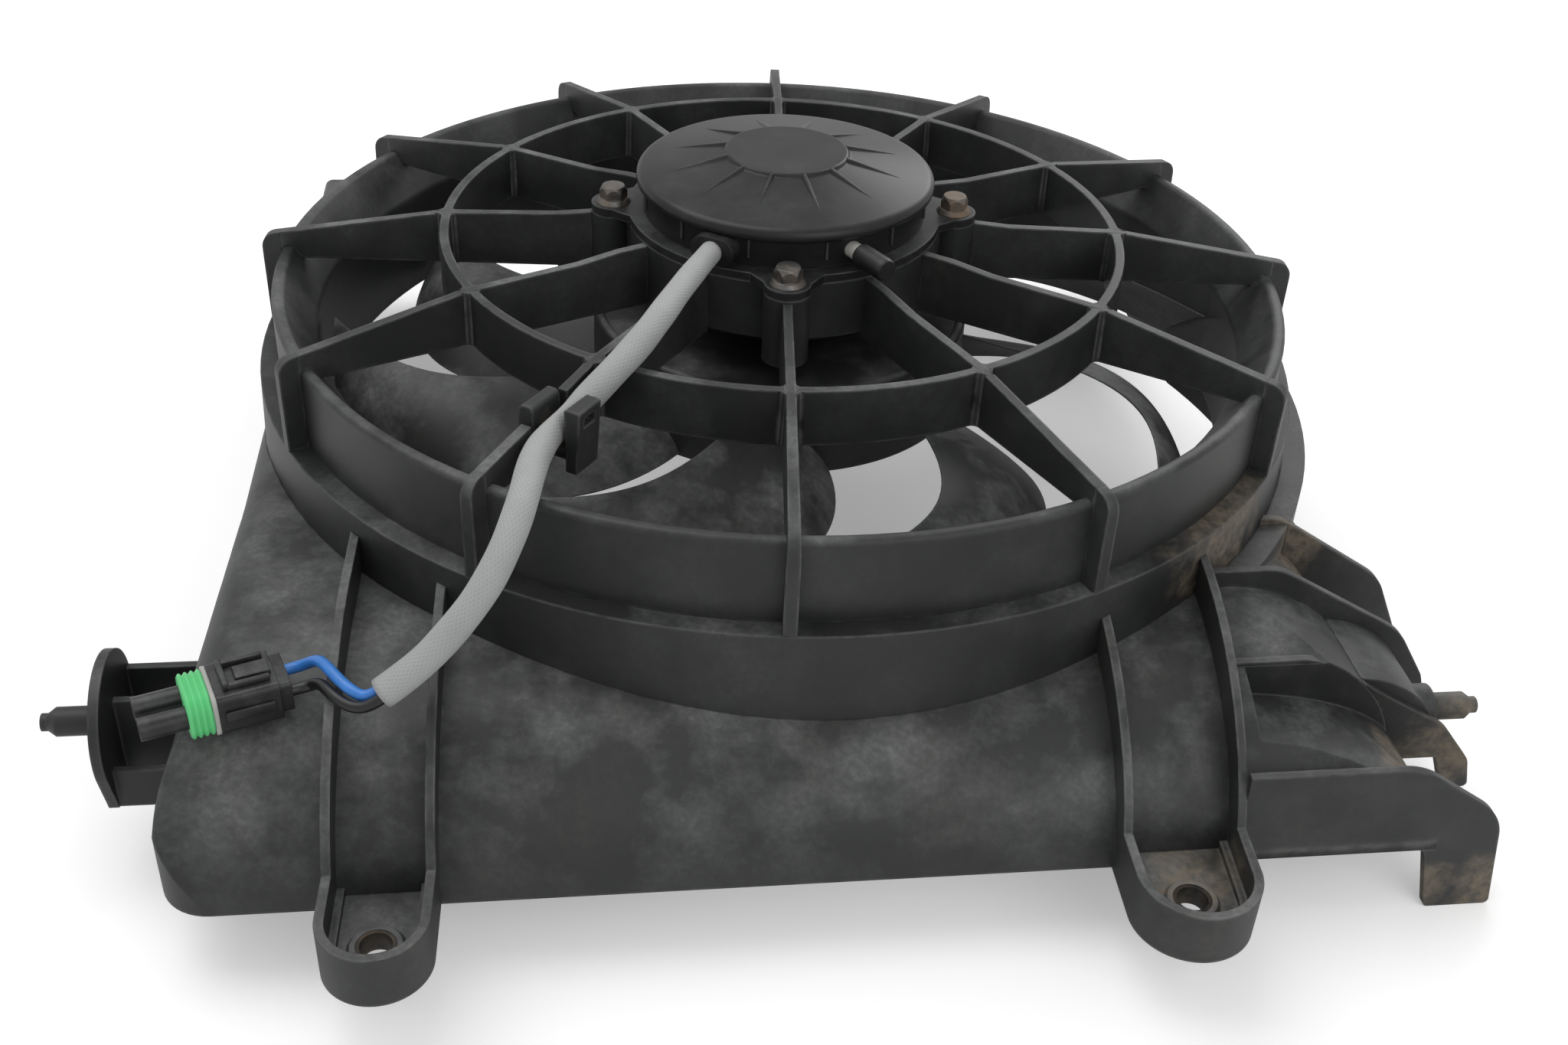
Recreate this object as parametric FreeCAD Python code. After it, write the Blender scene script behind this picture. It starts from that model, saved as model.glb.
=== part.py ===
"""Radiator cooling fan: moulded shroud with a guard, a sealed flat motor and an eight-blade fan.

Frame: origin on the fan axis in the plane of the shroud's open mouth, Z up towards the motor,
X to the right along the front edge, Y to the back. All lengths are in millimetres.
"""
import FreeCAD, Part
import math
import os
from FreeCAD import Vector

# Shroud sizes, laid out round the barrel
BARREL_R = 218.0           # barrel at the ledge
WALL = 3.0                 # moulded wall
PLENUM_H = 55.0            # roof of the plenum above its mouth
FRONT_Y = -BARREL_R - 36.0  # front edge of the mouth
FRONT_RUN = 89.0           # depth of the rounded front face
BACK_Y = BARREL_R + 22.0   # back edge of the mouth
BACK_R = 30.0              # rounding between roof and back wall
LEFT_X = -BARREL_R - 13.5  # left wall at the front edge
LEFT_BACK_X = -BARREL_R - 4.5  # left wall from FLARE_END_Y to the back
FLARE_END_Y = -80.0        # the left wall flares outward in front of this
LEFT_DRAFT = 3.0           # the left wall leans in by this much over its height
LEFT_FRONT_R = 28.0        # rounding between roof and left wall at the front
LEFT_BACK_R = 15.0         # and from FLARE_END_Y to the back
CORNER_R = 18.0            # corners of the mouth in plan
LOBE_X = BARREL_R - 68.0   # start of the rounded right end in front
LOBE_RUN = 60.0            # its depth
END_Y = FRONT_Y + 129.0    # the right end changes its depth behind the last fin
END_X = BARREL_R - 40.0    # start of the rounded right end behind the fins
END_RUN = 37.0             # its depth
SIDE_R = BARREL_R + 11.0   # rounded side beside the barrel
PANEL_LEFT_X = LOBE_X - 4.0  # the panel between the first two fins lies lower to the right of this
PANEL_X = LOBE_X - 12.0    # start of its rounded end
PANEL_RUN = 76.0           # its depth
PANEL_H = 36.0             # its roof

# Barrel, bell mouth and guard
BARREL_FOOT_R = BARREL_R + 2.0  # barrel at its foot
BARREL_FOOT_Z = 40.0
LEDGE_Z = 78.0
BELL_R = BARREL_R - 8.0    # outer wall of the bell mouth
BELL_TOP_Z = 111.0
THROAT_R = BELL_R - 18.0
LIP_Z = 93.0               # where the bell's slope meets the throat
THROAT_FOOT_Z = 50.0
RIB_COUNT = 12
RIB_PHASE = -95.4          # azimuth of the first rib, degrees
RIB_TOP_W = 3.6
RIB_FOOT_W = 5.0
RIB_Z = 106.0              # underside of the guard
GUARD_Z = 128.0            # top of the guard at its ring
RIM_Z = 115.8              # top of the ribs at the barrel
RIM_R = 8.0                # rounded outer corner of each rib
GUARD_R = 142.0

# Motor mount
MOUNT_R = 65.0             # outer wall of the motor ring
MOUNT_WALL = 4.0
MOUNT_Z = 131.5            # seat of the motor flange
MOUNT_FOOT_Z = 107.5
BOSS_R = 9.15              # bosses and flange ears
BOSS_DROP = 5.0            # bosses hang below the ring by this much
BOLT_CIRCLE_R = 71.0
BOLT_COUNT = 4
BOLT_R = 3.0
BOLT_LENGTH = 18.0
BOLT_FLANGE_R = 7.2
BOLT_FLANGE_H = 1.8
BOLT_HEX = 10.0            # across flats
BOLT_HEAD_H = 7.0
HOLE_CLEARANCE = 0.3
INSERT_R = 4.4
THREAD_CLEARANCE = 0.05

# Motor
FLANGE_H = 3.5
CAN_R = 57.0
CAN_WALL = 1.8
CAN_FOOT_Z = 100.0
NECK_R = 58.5
NECK_H = 11.0
SHOULDER_R = 61.5
SHOULDER_H = 5.5
CAP_WALL = 3.0
DISC_R = 25.0
DISC_Z = 160.0             # top of the raised disc
DISC_STEP = 1.5
CREASE_COUNT = 12
CREASE_END_R = 45.0
CREASE_DEPTH = 1.3
CREASE_W = 2.4
SEAL_H = 1.2
SEAL_W = 1.4
MAGNET_COUNT = 4
MAGNET_T = 6.0
MAGNET_ARC = 72.0
CORE_R = 47.8
CORE_Z = 114.0
CORE_H = 18.0
SLOT_COUNT = 12
WINDING_H = 7.0
COMMUTATOR_R = 15.0
COMMUTATOR_H = 9.0
BEARING_R = 11.0
BEARING_H = 7.0
BEARING_SEAT = 3.0         # wall round each bearing
SHAFT_R = 4.0
RUNNING_FIT = 0.03
BRUSH_COUNT = 2
BRUSH_GAP = 0.3            # brush face to commutator
BRUSH_W = 6.0
BRUSH_L = 12.0
SPRING_R = 2.4
SPRING_L = 8.0
HOLDER_T = 5.0

# Gland and vent on the motor's neck
GLAND_AZ = -122.5
GLAND_W = 18.5
GLAND_H = 11.5
GLAND_OUT = 6.5            # how far it stands out of the neck
VENT_AZ = -70.0
VENT_YAW = -62.0           # the vent's own direction
VENT_R = 3.4
VENT_L = 8.0
VENT_CAP_R = 4.6
VENT_CAP_L = 14.0
VENT_CAP_LAP = 2.0

# Fan
HUB_R = 80.0
HUB_TOP_Z = 92.0
HUB_FOOT_Z = 54.0
HUB_WALL = 3.0
HUB_RIB_COUNT = 8
HUB_BOSS_R = 13.0
HUB_BOSS_FOOT_Z = 66.0
WASHER_R = 9.0
WASHER_H = 1.6
NUT_FLATS = 13.0
NUT_H = 6.5
SHAFT_TAIL = 1.5
BLADE_COUNT = 8
BLADE_PHASE = -3.0         # turns all the blades about the axis, degrees
TIP_GAP = 2.7
BLADE_TIP_R = THROAT_R - TIP_GAP
BLADE_HIGH_Z = 83.0
BLADE_LOW_Z = 55.0
BLADE_T = 2.6
BLADE_CAMBER = 0.07        # of the chord

# Mounting tabs
TAB_HOLE_R = 5.2
TAB_FLOOR = 6.0
TAB_RIM = 20.5
TAB_WALL = 3.2
TAB_FLOOR_INSET = 2.6      # the channel narrows by this much at its floor
TAB_LEDGE_Z = 9.0          # up to this height
TAB_PROUD_Y = 9.0          # how far the channel walls stand off the front face
TAB_PROUD_Z = 15.0
TAB_BACK_Y = FRONT_Y + 134.0
TAB_OUT = 23.5             # tab holes stand this far in front of the hood
LEFT_TAB = {"x": -157.0, "y": FRONT_Y - TAB_OUT, "r": 18.2, "back_left": -171.0, "back_right": -134.5}
RIGHT_TAB = {"x": 111.8, "y": FRONT_Y - TAB_OUT, "r": 21.2, "back_left": 96.0, "back_right": 144.5}
SLEEVE_WALL = 1.4
COLLAR_R = 9.6
COLLAR_H = 1.8

# Fins with the hook, at the right end
FIN_T = 3.2
FIN_1_Y = FRONT_Y + FIN_T / 2
FIN_2_Y = FRONT_Y + 49.0
FIN_3_Y = FRONT_Y + 88.0
FIN_4_Y = FRONT_Y + 127.0
FIN_FOOT = 56.0            # where the first fin's foot ends and the hook begins
HOOK_FOOT_Z = -29.0
HOOK_DEPTH = 17.0
FIN_2_TOE_Z = -16.0        # the toes of the next two fins reach below the mouth
FIN_3_TOE_Z = -10.0

# Locating pins and left flange
PIN_R = 5.25
LEFT_PIN_Y = FRONT_Y + 72.0
LEFT_PIN_Z = 25.0
FLANGE_X = LEFT_X - 23.7   # outer face of the left flange plate
LEFT_PIN_TIP_X = FLANGE_X - 21.8
FLANGE_T = 3.6
FLANGE_R = 25.0
RIGHT_PIN_Y = FRONT_Y + 60.5
RIGHT_PIN_Z = 14.0
PIN_SEAT_R = 9.0
PIN_NOSE = 5.0
PIN_NOSE_R = 3.2
BLOCK_X = LOBE_X + 40.0    # start of the rounded block that carries the right pin
BLOCK_RUN = 41.0
PIN_SEAT_X = BLOCK_X + 39.0  # flat shoulder at the root of the right pin
RIGHT_PIN_TIP_X = PIN_SEAT_X + 19.5
BLOCK_H = 38.0

# Cable clip on the twelfth rib
CLIP_R = 172.0
CLIP_L = 13.0
CLIP_POST_IN = 12.9        # inner face of the slotted post, off the rib's middle
CLIP_POST_W = 6.4
CLIP_POST_TOP = 129.5
CLIP_FLOOR_Z = 108.0
CLIP_FLOOR_T = 3.5
CLIP_EAR_IN = 0.7          # inner face of the ear that stands in the rib's notch
CLIP_EAR_W = 6.0
CLIP_EAR_TOP = 126.8
CLIP_EAR_L = 16.0
CLIP_NOTCH_L = 22.0

# Cable and connector
SLEEVE_R = 5.3
WIRE_R = 2.0
WIRE_SPREAD = 5.6          # half the distance between the two wires at the connector
CONNECTOR_REAR = (-187.0, -206.0, 59.0)
CONNECTOR_YAW = 200.3      # direction of its towers, degrees
CONNECTOR_W = 21.0
CONNECTOR_H = 15.0
CONNECTOR_L = 20.0
RETAINER_L = 4.0
SEAL_L = 9.5
CONNECTOR_SEAL_W = 23.0
CONNECTOR_SEAL_H = 17.0
TOWER_R = 3.9
TOWER_L = 15.0
CONTACT_R = 1.6
SLEEVE_ROUTE = [
    (-34.95, -54.87, 140.8), (-40.4, -63.4, 140.8), (-45.0, -83.0, 140.8), (-51.5, -107.0, 139.8),
    (-62.0, -122.7, 137.5), (-75.4, -130.4, 128.8), (-88.5, -137.7, 120.3), (-100.0, -152.8, 117.4),
    (-104.0, -167.1, 117.3), (-107.0, -190.0, 117.2), (-112.0, -205.5, 111.0), (-119.5, -213.5, 99.5),
    (-130.0, -217.5, 86.5), (-142.5, -221.2, 74.0), (-154.0, -224.3, 67.0)]
BLUE_ROUTE = [(-154.6, -222.2, 66.95), (-158.8, -223.3, 64.5), (-163.4, -221.4, 65.6), (-168.4, -216.0, 66.5),
              (-173.0, -208.6, 66.6), (-176.9, -202.4, 64.6), (-183.3, -198.6, 59.0), (-188.9, -200.7, 59.0)]
BLACK_ROUTE = [(-153.45, -226.45, 66.95), (-157.6, -227.6, 64.5), (-162.6, -226.6, 63.2), (-167.4, -223.0, 63.0),
               (-172.0, -217.6, 63.4), (-175.4, -211.8, 62.2), (-179.9, -209.35, 59.0), (-185.0, -211.25, 59.0)]

BIG = 600.0                # longer than any part of the shroud
Z_AXIS = Vector(0, 0, 1)
ORIGIN = Vector(0, 0, 0)
os.makedirs("parts", exist_ok=True)


def on_xy(z):
    return lambda p: Vector(p.x, p.y, z)


def on_xz(y):
    return lambda p: Vector(p.x, y, p.y)


def on_yz(x):
    return lambda p: Vector(x, p.x, p.y)


def outline(points, plane):
    """Closed wire through corners (u, v) or (u, v, radius), rounded by tangent arcs."""
    count = len(points)
    corners = []
    for i, point in enumerate(points):
        here = Vector(point[0], point[1], 0)
        radius = point[2] if len(point) > 2 else 0
        if not radius:
            corners.append((here, None, here))
            continue
        back = Vector(points[i - 1][0], points[i - 1][1], 0) - here
        ahead = Vector(points[(i + 1) % count][0], points[(i + 1) % count][1], 0) - here
        back.normalize()
        ahead.normalize()
        half = back.getAngle(ahead) / 2
        reach = radius / math.tan(half)
        inward = back + ahead
        inward.normalize()
        middle = here + inward * (radius / math.sin(half) - radius)
        corners.append((here + back * reach, middle, here + ahead * reach))
    edges = []
    for i, (start, middle, end) in enumerate(corners):
        if middle is not None:
            edges.append(Part.Arc(plane(start), plane(middle), plane(end)).toShape())
        following = corners[(i + 1) % count][0]
        if (following - end).Length > 1e-6:
            edges.append(Part.makeLine(plane(end), plane(following)))
    return Part.Wire(edges)


def prism_z(points, low, high):
    return Part.Face(outline(points, on_xy(low))).extrude(Vector(0, 0, high - low))


def prism_y(points, low, high):
    return Part.Face(outline(points, on_xz(low))).extrude(Vector(0, high - low, 0))


def prism_x(points, low, high):
    return Part.Face(outline(points, on_yz(low))).extrude(Vector(high - low, 0, 0))


def revolve(points):
    """Solid of revolution about the fan axis from corners (r, z) or (r, z, radius)."""
    return Part.Face(outline(points, on_xz(0))).revolve(ORIGIN, Z_AXIS, 360)


def disc(radius, low, high, x=0.0, y=0.0):
    return Part.makeCylinder(radius, high - low, Vector(x, y, low))


def tube(outer, inner, low, high, x=0.0, y=0.0):
    return disc(outer, low, high, x, y).cut(disc(inner, low, high, x, y))


def rod(start, end, radius):
    return Part.makeCylinder(radius, (end - start).Length, start, end - start)


def hexagon(flats, low, high, x=0.0, y=0.0):
    radius = flats / math.sqrt(3)
    corners = [(x + radius * math.cos(math.radians(60 * k)), y + radius * math.sin(math.radians(60 * k)))
               for k in range(6)]
    return prism_z(corners, low, high)


def turned(shape, angle):
    copy = shape.copy()
    copy.rotate(ORIGIN, Z_AXIS, angle)
    return copy


def polar(radius, azimuth, z=0.0):
    return Vector(radius * math.cos(math.radians(azimuth)), radius * math.sin(math.radians(azimuth)), z)


def ring_of(shape, count, phase):
    """Copies of a shape drawn on the X axis, spaced evenly about the fan axis."""
    return [turned(shape, phase + 360.0 * k / count) for k in range(count)]


def save(node, *shapes):
    """Write the solids of one node to its own file."""
    solids = [solid for shape in shapes for solid in shape.Solids]
    whole = solids[0] if len(solids) == 1 else Part.makeCompound(solids)
    whole.exportStep("parts/%s.step" % node)
    print(node, len(solids), round(sum(solid.Volume for solid in solids)), whole.isValid())


def elliptic(centre, first, second, start=0.0):
    """Arc of an ellipse from centre + first (or start radians past it) to centre + second."""
    if first.Length >= second.Length:
        ellipse = Part.Ellipse(centre + first, centre + second, centre)
        return Part.ArcOfEllipse(ellipse, start, math.pi / 2).toShape()
    ellipse = Part.Ellipse(centre + second, centre + first, centre)
    return Part.ArcOfEllipse(ellipse, 0, math.pi / 2 - start).toShape()


def closed_face(edges):
    return Part.Face(Part.Wire(Part.__sortEdges__(edges)))


# Plenum hood
def front_profile(inset):
    """Side outline of the hood: rounded front face, flat roof, rounded back."""
    run = FRONT_RUN - inset
    height = PLENUM_H - inset
    crown_y = FRONT_Y + FRONT_RUN
    front = elliptic(Vector(-BIG, crown_y, 0), Vector(0, -run, 0), Vector(0, 0, height))
    back_y = BACK_Y - inset
    radius = BACK_R - inset
    bend = radius * (1 - math.sqrt(0.5))
    back = Part.Arc(Vector(-BIG, back_y - radius, height), Vector(-BIG, back_y - bend, height - bend),
                    Vector(-BIG, back_y, height - radius)).toShape()
    corners = [Vector(-BIG, crown_y, height), Vector(-BIG, back_y - radius, height)]
    foot = [Vector(-BIG, back_y, height - radius), Vector(-BIG, back_y, 0), Vector(-BIG, crown_y - run, 0)]
    edges = [front, Part.makeLine(*corners), back, Part.makeLine(foot[0], foot[1]),
             Part.makeLine(foot[1], foot[2])]
    return closed_face(edges).extrude(Vector(2 * BIG, 0, 0))


def left_profile(inset):
    """Loft whose left side flares towards the front, with a rounded shoulder."""
    def section(y, x, radius):
        lean = x + LEFT_DRAFT + inset
        return outline([(x + inset, 0), (lean, PLENUM_H - inset, radius), (BIG, PLENUM_H - inset),
                        (BIG, 0)], on_xz(y))
    front = Part.makeLoft([section(FRONT_Y - 10, LEFT_X, LEFT_FRONT_R - inset),
                           section(FLARE_END_Y, LEFT_BACK_X, LEFT_BACK_R - inset)], True, True)
    back = Part.Face(section(FLARE_END_Y, LEFT_BACK_X, LEFT_BACK_R - inset)).extrude(
        Vector(0, BACK_Y + 10 - FLARE_END_Y, 0))
    return front.fuse(back)


def rounded_end(start, run, height, inset, low, high):
    """Block along Y whose right end falls in a quarter ellipse from the roof to the mouth."""
    top = height - inset
    end = start + run - inset
    curve = elliptic(Vector(start, low, 0), Vector(run - inset, 0, 0), Vector(0, 0, top))
    edges = [curve, Part.makeLine(Vector(start, low, top), Vector(-BIG, low, top)),
             Part.makeLine(Vector(-BIG, low, top), Vector(-BIG, low, 0)),
             Part.makeLine(Vector(-BIG, low, 0), Vector(end, low, 0))]
    return closed_face(edges).extrude(Vector(0, high - low, 0))


def hood(inset):
    """Outer form of the plenum, or its inner form when inset by the wall."""
    radius = CORNER_R - inset
    plan = prism_z([(LEFT_X + inset, FRONT_Y + inset, radius), (BIG / 2, FRONT_Y + inset),
                    (BIG / 2, BACK_Y - inset, radius), (LEFT_BACK_X + inset, BACK_Y - inset, radius),
                    (LEFT_BACK_X + inset, FLARE_END_Y)], 0, PLENUM_H)
    ends = rounded_end(LOBE_X, LOBE_RUN, PLENUM_H, inset, FRONT_Y, END_Y + inset).fuse(
        rounded_end(END_X, END_RUN, PLENUM_H, inset, END_Y + inset, BACK_Y))
    side = disc(SIDE_R - inset, 0, PLENUM_H - inset)
    panel_back_y = FIN_2_Y - FIN_T / 2 + inset
    above_panel = prism_y([(PANEL_LEFT_X - inset, 0), (BIG, 0), (BIG, BIG), (PANEL_LEFT_X - inset, BIG)],
                          FRONT_Y - WALL, panel_back_y)
    above_panel = above_panel.cut(rounded_end(PANEL_X, PANEL_RUN, PANEL_H, inset, FRONT_Y - WALL, panel_back_y))
    whole = front_profile(inset).common(left_profile(inset)).common(plan).common(ends.fuse(side))
    return whole.cut(above_panel)


def barrel_outside(low):
    """Solid cone inside the barrel's outer face, drawn down to the given height."""
    slope = (BARREL_FOOT_R - BARREL_R) / (LEDGE_Z - BARREL_FOOT_Z)
    return revolve([(0, low), (BARREL_R + slope * (LEDGE_Z - low), low), (BARREL_R, LEDGE_Z), (0, LEDGE_Z)])


hood_outside = hood(0)
barrel_core = barrel_outside(BARREL_FOOT_Z - WALL)
plenum = hood_outside.cut(hood(WALL)).cut(barrel_core)
save("shroud_plenum", plenum)

# Barrel with its ledge, and the bell mouth that stands on the ledge
barrel = revolve([(BARREL_FOOT_R, BARREL_FOOT_Z), (BARREL_R, LEDGE_Z), (BELL_R - WALL, LEDGE_Z),
                  (BELL_R - WALL, LEDGE_Z - WALL), (BARREL_R - WALL, LEDGE_Z - WALL),
                  (BARREL_FOOT_R - WALL, BARREL_FOOT_Z)])
save("shroud_barrel", barrel)

RIM_INSIDE = WALL * 0.8
bell = revolve([(BELL_R, LEDGE_Z), (BELL_R, BELL_TOP_Z, 2.2), (BELL_R - 4.5, BELL_TOP_Z, 2.5),
                (THROAT_R + 1.5, LIP_Z, 5.0), (THROAT_R, THROAT_FOOT_Z), (THROAT_R + WALL, THROAT_FOOT_Z),
                (THROAT_R + WALL, LIP_Z - 1.5, 3.0), (BELL_R - WALL, BELL_TOP_Z - 2 * RIM_INSIDE, 2.0),
                (BELL_R - WALL, LEDGE_Z)])
save("bell_mouth", bell)

# Guard: radial arms, outer posts, ring segments
RIM_SLOPE = (GUARD_Z - RIM_Z) / (BARREL_R - GUARD_R)
top_at_bell = GUARD_Z - RIM_SLOPE * (BELL_R - GUARD_R)
half_top = RIB_TOP_W / 2
half_foot = RIB_FOOT_W / 2
rib_bar = prism_x([(-half_foot, LEDGE_Z), (-half_foot, RIB_Z), (-half_top, GUARD_Z),
                   (-half_top, MOUNT_Z), (half_top, MOUNT_Z), (half_top, GUARD_Z),
                   (half_foot, RIB_Z), (half_foot, LEDGE_Z)], MOUNT_R - MOUNT_WALL, BARREL_R)
arm_side = prism_y([(MOUNT_R - MOUNT_WALL, RIB_Z), (MOUNT_R - MOUNT_WALL, MOUNT_Z - 0.5),
                    (MOUNT_R + 12, MOUNT_Z - 0.8, 20), (MOUNT_R + 30, GUARD_Z + 0.9, 20),
                    (GUARD_R, GUARD_Z), (BELL_R, top_at_bell), (BELL_R, RIB_Z)], -10, 10)
mount_core = disc(MOUNT_R, 0, PLENUM_H * 4)
boss_cores = [disc(BOSS_R, 0, PLENUM_H * 4, *polar(BOLT_CIRCLE_R, RIB_PHASE + 90 * k)[:2])
              for k in range(BOLT_COUNT)]
arm = rib_bar.common(arm_side).cut(bell).cut(mount_core)
arms = [turned(arm, RIB_PHASE + 360.0 * k / RIB_COUNT).cut(Part.makeCompound(boss_cores))
        for k in range(RIB_COUNT)]
notch_z = CLIP_FLOOR_Z + CLIP_FLOOR_T
clip_notch = prism_x([(-RIB_FOOT_W, notch_z), (RIB_FOOT_W, notch_z), (RIB_FOOT_W, MOUNT_Z), (-RIB_FOOT_W, MOUNT_Z)],
                     CLIP_R - CLIP_NOTCH_L / 2, CLIP_R + CLIP_NOTCH_L / 2)
arms[-1] = arms[-1].cut(turned(clip_notch, RIB_PHASE - 360.0 / RIB_COUNT))
save("guard_arms", *arms)

post_side = prism_y([(BELL_R, LEDGE_Z), (BELL_R, top_at_bell), (BARREL_R, RIM_Z, RIM_R * 0.8),
                     (BARREL_R, LEDGE_Z)], -10, 10)
save("guard_posts", *ring_of(rib_bar.common(post_side), RIB_COUNT, RIB_PHASE))

ring_section = revolve([(GUARD_R - RIB_TOP_W, GUARD_Z), (GUARD_R, GUARD_Z), (GUARD_R + 0.4, RIB_Z),
                        (GUARD_R - RIB_TOP_W - 0.4, RIB_Z)])
save("guard_ring", ring_section.cut(Part.makeCompound(arms)))

# Motor ring with a boss under each ear
boss_phase = [RIB_PHASE + 360.0 * k / BOLT_COUNT for k in range(BOLT_COUNT)]
ring_inner = disc(MOUNT_R - MOUNT_WALL, MOUNT_FOOT_Z - BOSS_DROP, MOUNT_Z)
motor_ring = disc(MOUNT_R, MOUNT_FOOT_Z, MOUNT_Z)
for angle in boss_phase:
    spot = polar(BOLT_CIRCLE_R, angle)
    boss = disc(BOSS_R, MOUNT_FOOT_Z - BOSS_DROP, MOUNT_Z, spot.x, spot.y)
    motor_ring = motor_ring.fuse(boss)
motor_ring = motor_ring.cut(ring_inner).removeSplitter()
inserts = []
for angle in boss_phase:
    spot = polar(BOLT_CIRCLE_R, angle)
    insert_foot = MOUNT_Z - BOLT_LENGTH + FLANGE_H - 1
    motor_ring = motor_ring.cut(disc(INSERT_R, insert_foot, MOUNT_Z, spot.x, spot.y))
    inserts.append(tube(INSERT_R, BOLT_R + THREAD_CLEARANCE, insert_foot, MOUNT_Z, spot.x, spot.y))
save("motor_ring", motor_ring)
save("threaded_inserts", *inserts)

# Motor flange with four ears
FLANGE_TOP = MOUNT_Z + FLANGE_H
flange = disc(MOUNT_R, MOUNT_Z, FLANGE_TOP)
for angle in boss_phase:
    spot = polar(BOLT_CIRCLE_R, angle)
    inner = polar(MOUNT_R - MOUNT_WALL, angle)
    side = polar(1, angle + 90)
    neck = [inner + side * (BOSS_R + 7), spot + side * BOSS_R, spot - side * BOSS_R, inner - side * (BOSS_R + 7)]
    flange = flange.fuse(disc(BOSS_R, MOUNT_Z, FLANGE_TOP, spot.x, spot.y))
    flange = flange.fuse(prism_z([(p.x, p.y) for p in neck], MOUNT_Z, FLANGE_TOP))
for angle in boss_phase:
    spot = polar(BOLT_CIRCLE_R, angle)
    flange = flange.cut(disc(BOLT_R + HOLE_CLEARANCE, MOUNT_Z, FLANGE_TOP, spot.x, spot.y))
flange = flange.cut(disc(CAN_R - CAN_WALL, MOUNT_Z, FLANGE_TOP)).removeSplitter()
save("motor_flange", flange)

bolts = []
for angle in boss_phase:
    spot = polar(BOLT_CIRCLE_R, angle)
    head = hexagon(BOLT_HEX, FLANGE_TOP + BOLT_FLANGE_H, FLANGE_TOP + BOLT_HEAD_H, spot.x, spot.y)
    crown = Part.makeCone(BOLT_HEX * 0.72, BOLT_HEX * 0.46, BOLT_HEAD_H - BOLT_FLANGE_H,
                          Vector(spot.x, spot.y, FLANGE_TOP + BOLT_FLANGE_H))
    collar = Part.makeCone(BOLT_FLANGE_R, BOLT_FLANGE_R - 1.2, BOLT_FLANGE_H, Vector(spot.x, spot.y, FLANGE_TOP))
    shank = disc(BOLT_R, FLANGE_TOP - BOLT_LENGTH, FLANGE_TOP, spot.x, spot.y)
    bolts.append(head.common(crown).fuse(collar).fuse(shank).removeSplitter())
save("motor_bolts", *bolts)

# Motor can with the lower bearing seat
can_floor = CAN_FOOT_Z + CAN_WALL
seat_top = can_floor + BEARING_H
can = revolve([(SHAFT_R + 1.5, CAN_FOOT_Z), (CAN_R, CAN_FOOT_Z, 5.0), (CAN_R, MOUNT_Z), (CAN_R - CAN_WALL, MOUNT_Z),
               (CAN_R - CAN_WALL, can_floor, 3.2), (BEARING_R + BEARING_SEAT, can_floor),
               (BEARING_R + BEARING_SEAT, seat_top), (BEARING_R, seat_top), (BEARING_R, can_floor),
               (SHAFT_R + 1.5, can_floor)])
save("motor_can", can)
save("lower_bearing", tube(BEARING_R, SHAFT_R + RUNNING_FIT, can_floor, seat_top))

magnet = revolve([(CAN_R - CAN_WALL, CORE_Z - 4), (CAN_R - CAN_WALL, MOUNT_Z - 0.5),
                  (CAN_R - CAN_WALL - MAGNET_T, MOUNT_Z - 0.5), (CAN_R - CAN_WALL - MAGNET_T, CORE_Z - 4)])
half_arc = MAGNET_ARC / 2
wedge = prism_z([(0, 0), tuple(polar(2 * CAN_R, -half_arc))[:2], (2 * CAN_R / math.cos(math.radians(half_arc)), 0),
                 tuple(polar(2 * CAN_R, half_arc))[:2]], CORE_Z - 5, MOUNT_Z)
save("magnets", *ring_of(magnet.common(wedge), MAGNET_COUNT, 45 + RIB_PHASE))

# Motor cover: neck, overhanging shoulder, dome with creases, raised disc, upper bearing seat
NECK_TOP = FLANGE_TOP + NECK_H
SHOULDER_TOP = NECK_TOP + SHOULDER_H
DOME_TOP = DISC_Z - DISC_STEP
disc_under = DISC_Z - CAP_WALL
seat_foot = disc_under - BEARING_H
cap = revolve([(CAN_R - CAN_WALL + 0.3, FLANGE_TOP), (NECK_R, FLANGE_TOP), (NECK_R, NECK_TOP, 1.0),
               (SHOULDER_R, NECK_TOP + 1.0, 1.5), (SHOULDER_R, SHOULDER_TOP, 3.5), (DISC_R + 1.2, DOME_TOP, 1.0),
               (DISC_R, DISC_Z, 0.8), (0, DISC_Z), (0, disc_under), (BEARING_R, disc_under),
               (BEARING_R, seat_foot), (BEARING_R + BEARING_SEAT, seat_foot),
               (BEARING_R + BEARING_SEAT, disc_under - 1), (DISC_R, DOME_TOP - CAP_WALL),
               (SHOULDER_R - CAP_WALL, SHOULDER_TOP - CAP_WALL), (SHOULDER_R - CAP_WALL - 2, NECK_TOP),
               (CAN_R - CAN_WALL + 0.3, NECK_TOP - 2)])
dome_fall = (DOME_TOP - SHOULDER_TOP) / (SHOULDER_R - DISC_R)
crease = Part.makeLoft([outline([(-CREASE_W / 2, DOME_TOP + 2), (0, DOME_TOP - CREASE_DEPTH),
                                 (CREASE_W / 2, DOME_TOP + 2)], on_yz(DISC_R + 0.6)),
                        outline([(-0.2, DOME_TOP + 2), (0, DOME_TOP - dome_fall * (CREASE_END_R - DISC_R)),
                                 (0.2, DOME_TOP + 2)], on_yz(CREASE_END_R))], True, True)
for k in range(CREASE_COUNT):
    cap = cap.cut(turned(crease, RIB_PHASE + (k + 0.5) * 360.0 / CREASE_COUNT))
seal_r = CAN_R - CAN_WALL + 1.2
cap = cap.cut(tube(seal_r + SEAL_W, seal_r, FLANGE_TOP, FLANGE_TOP + SEAL_H))

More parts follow.
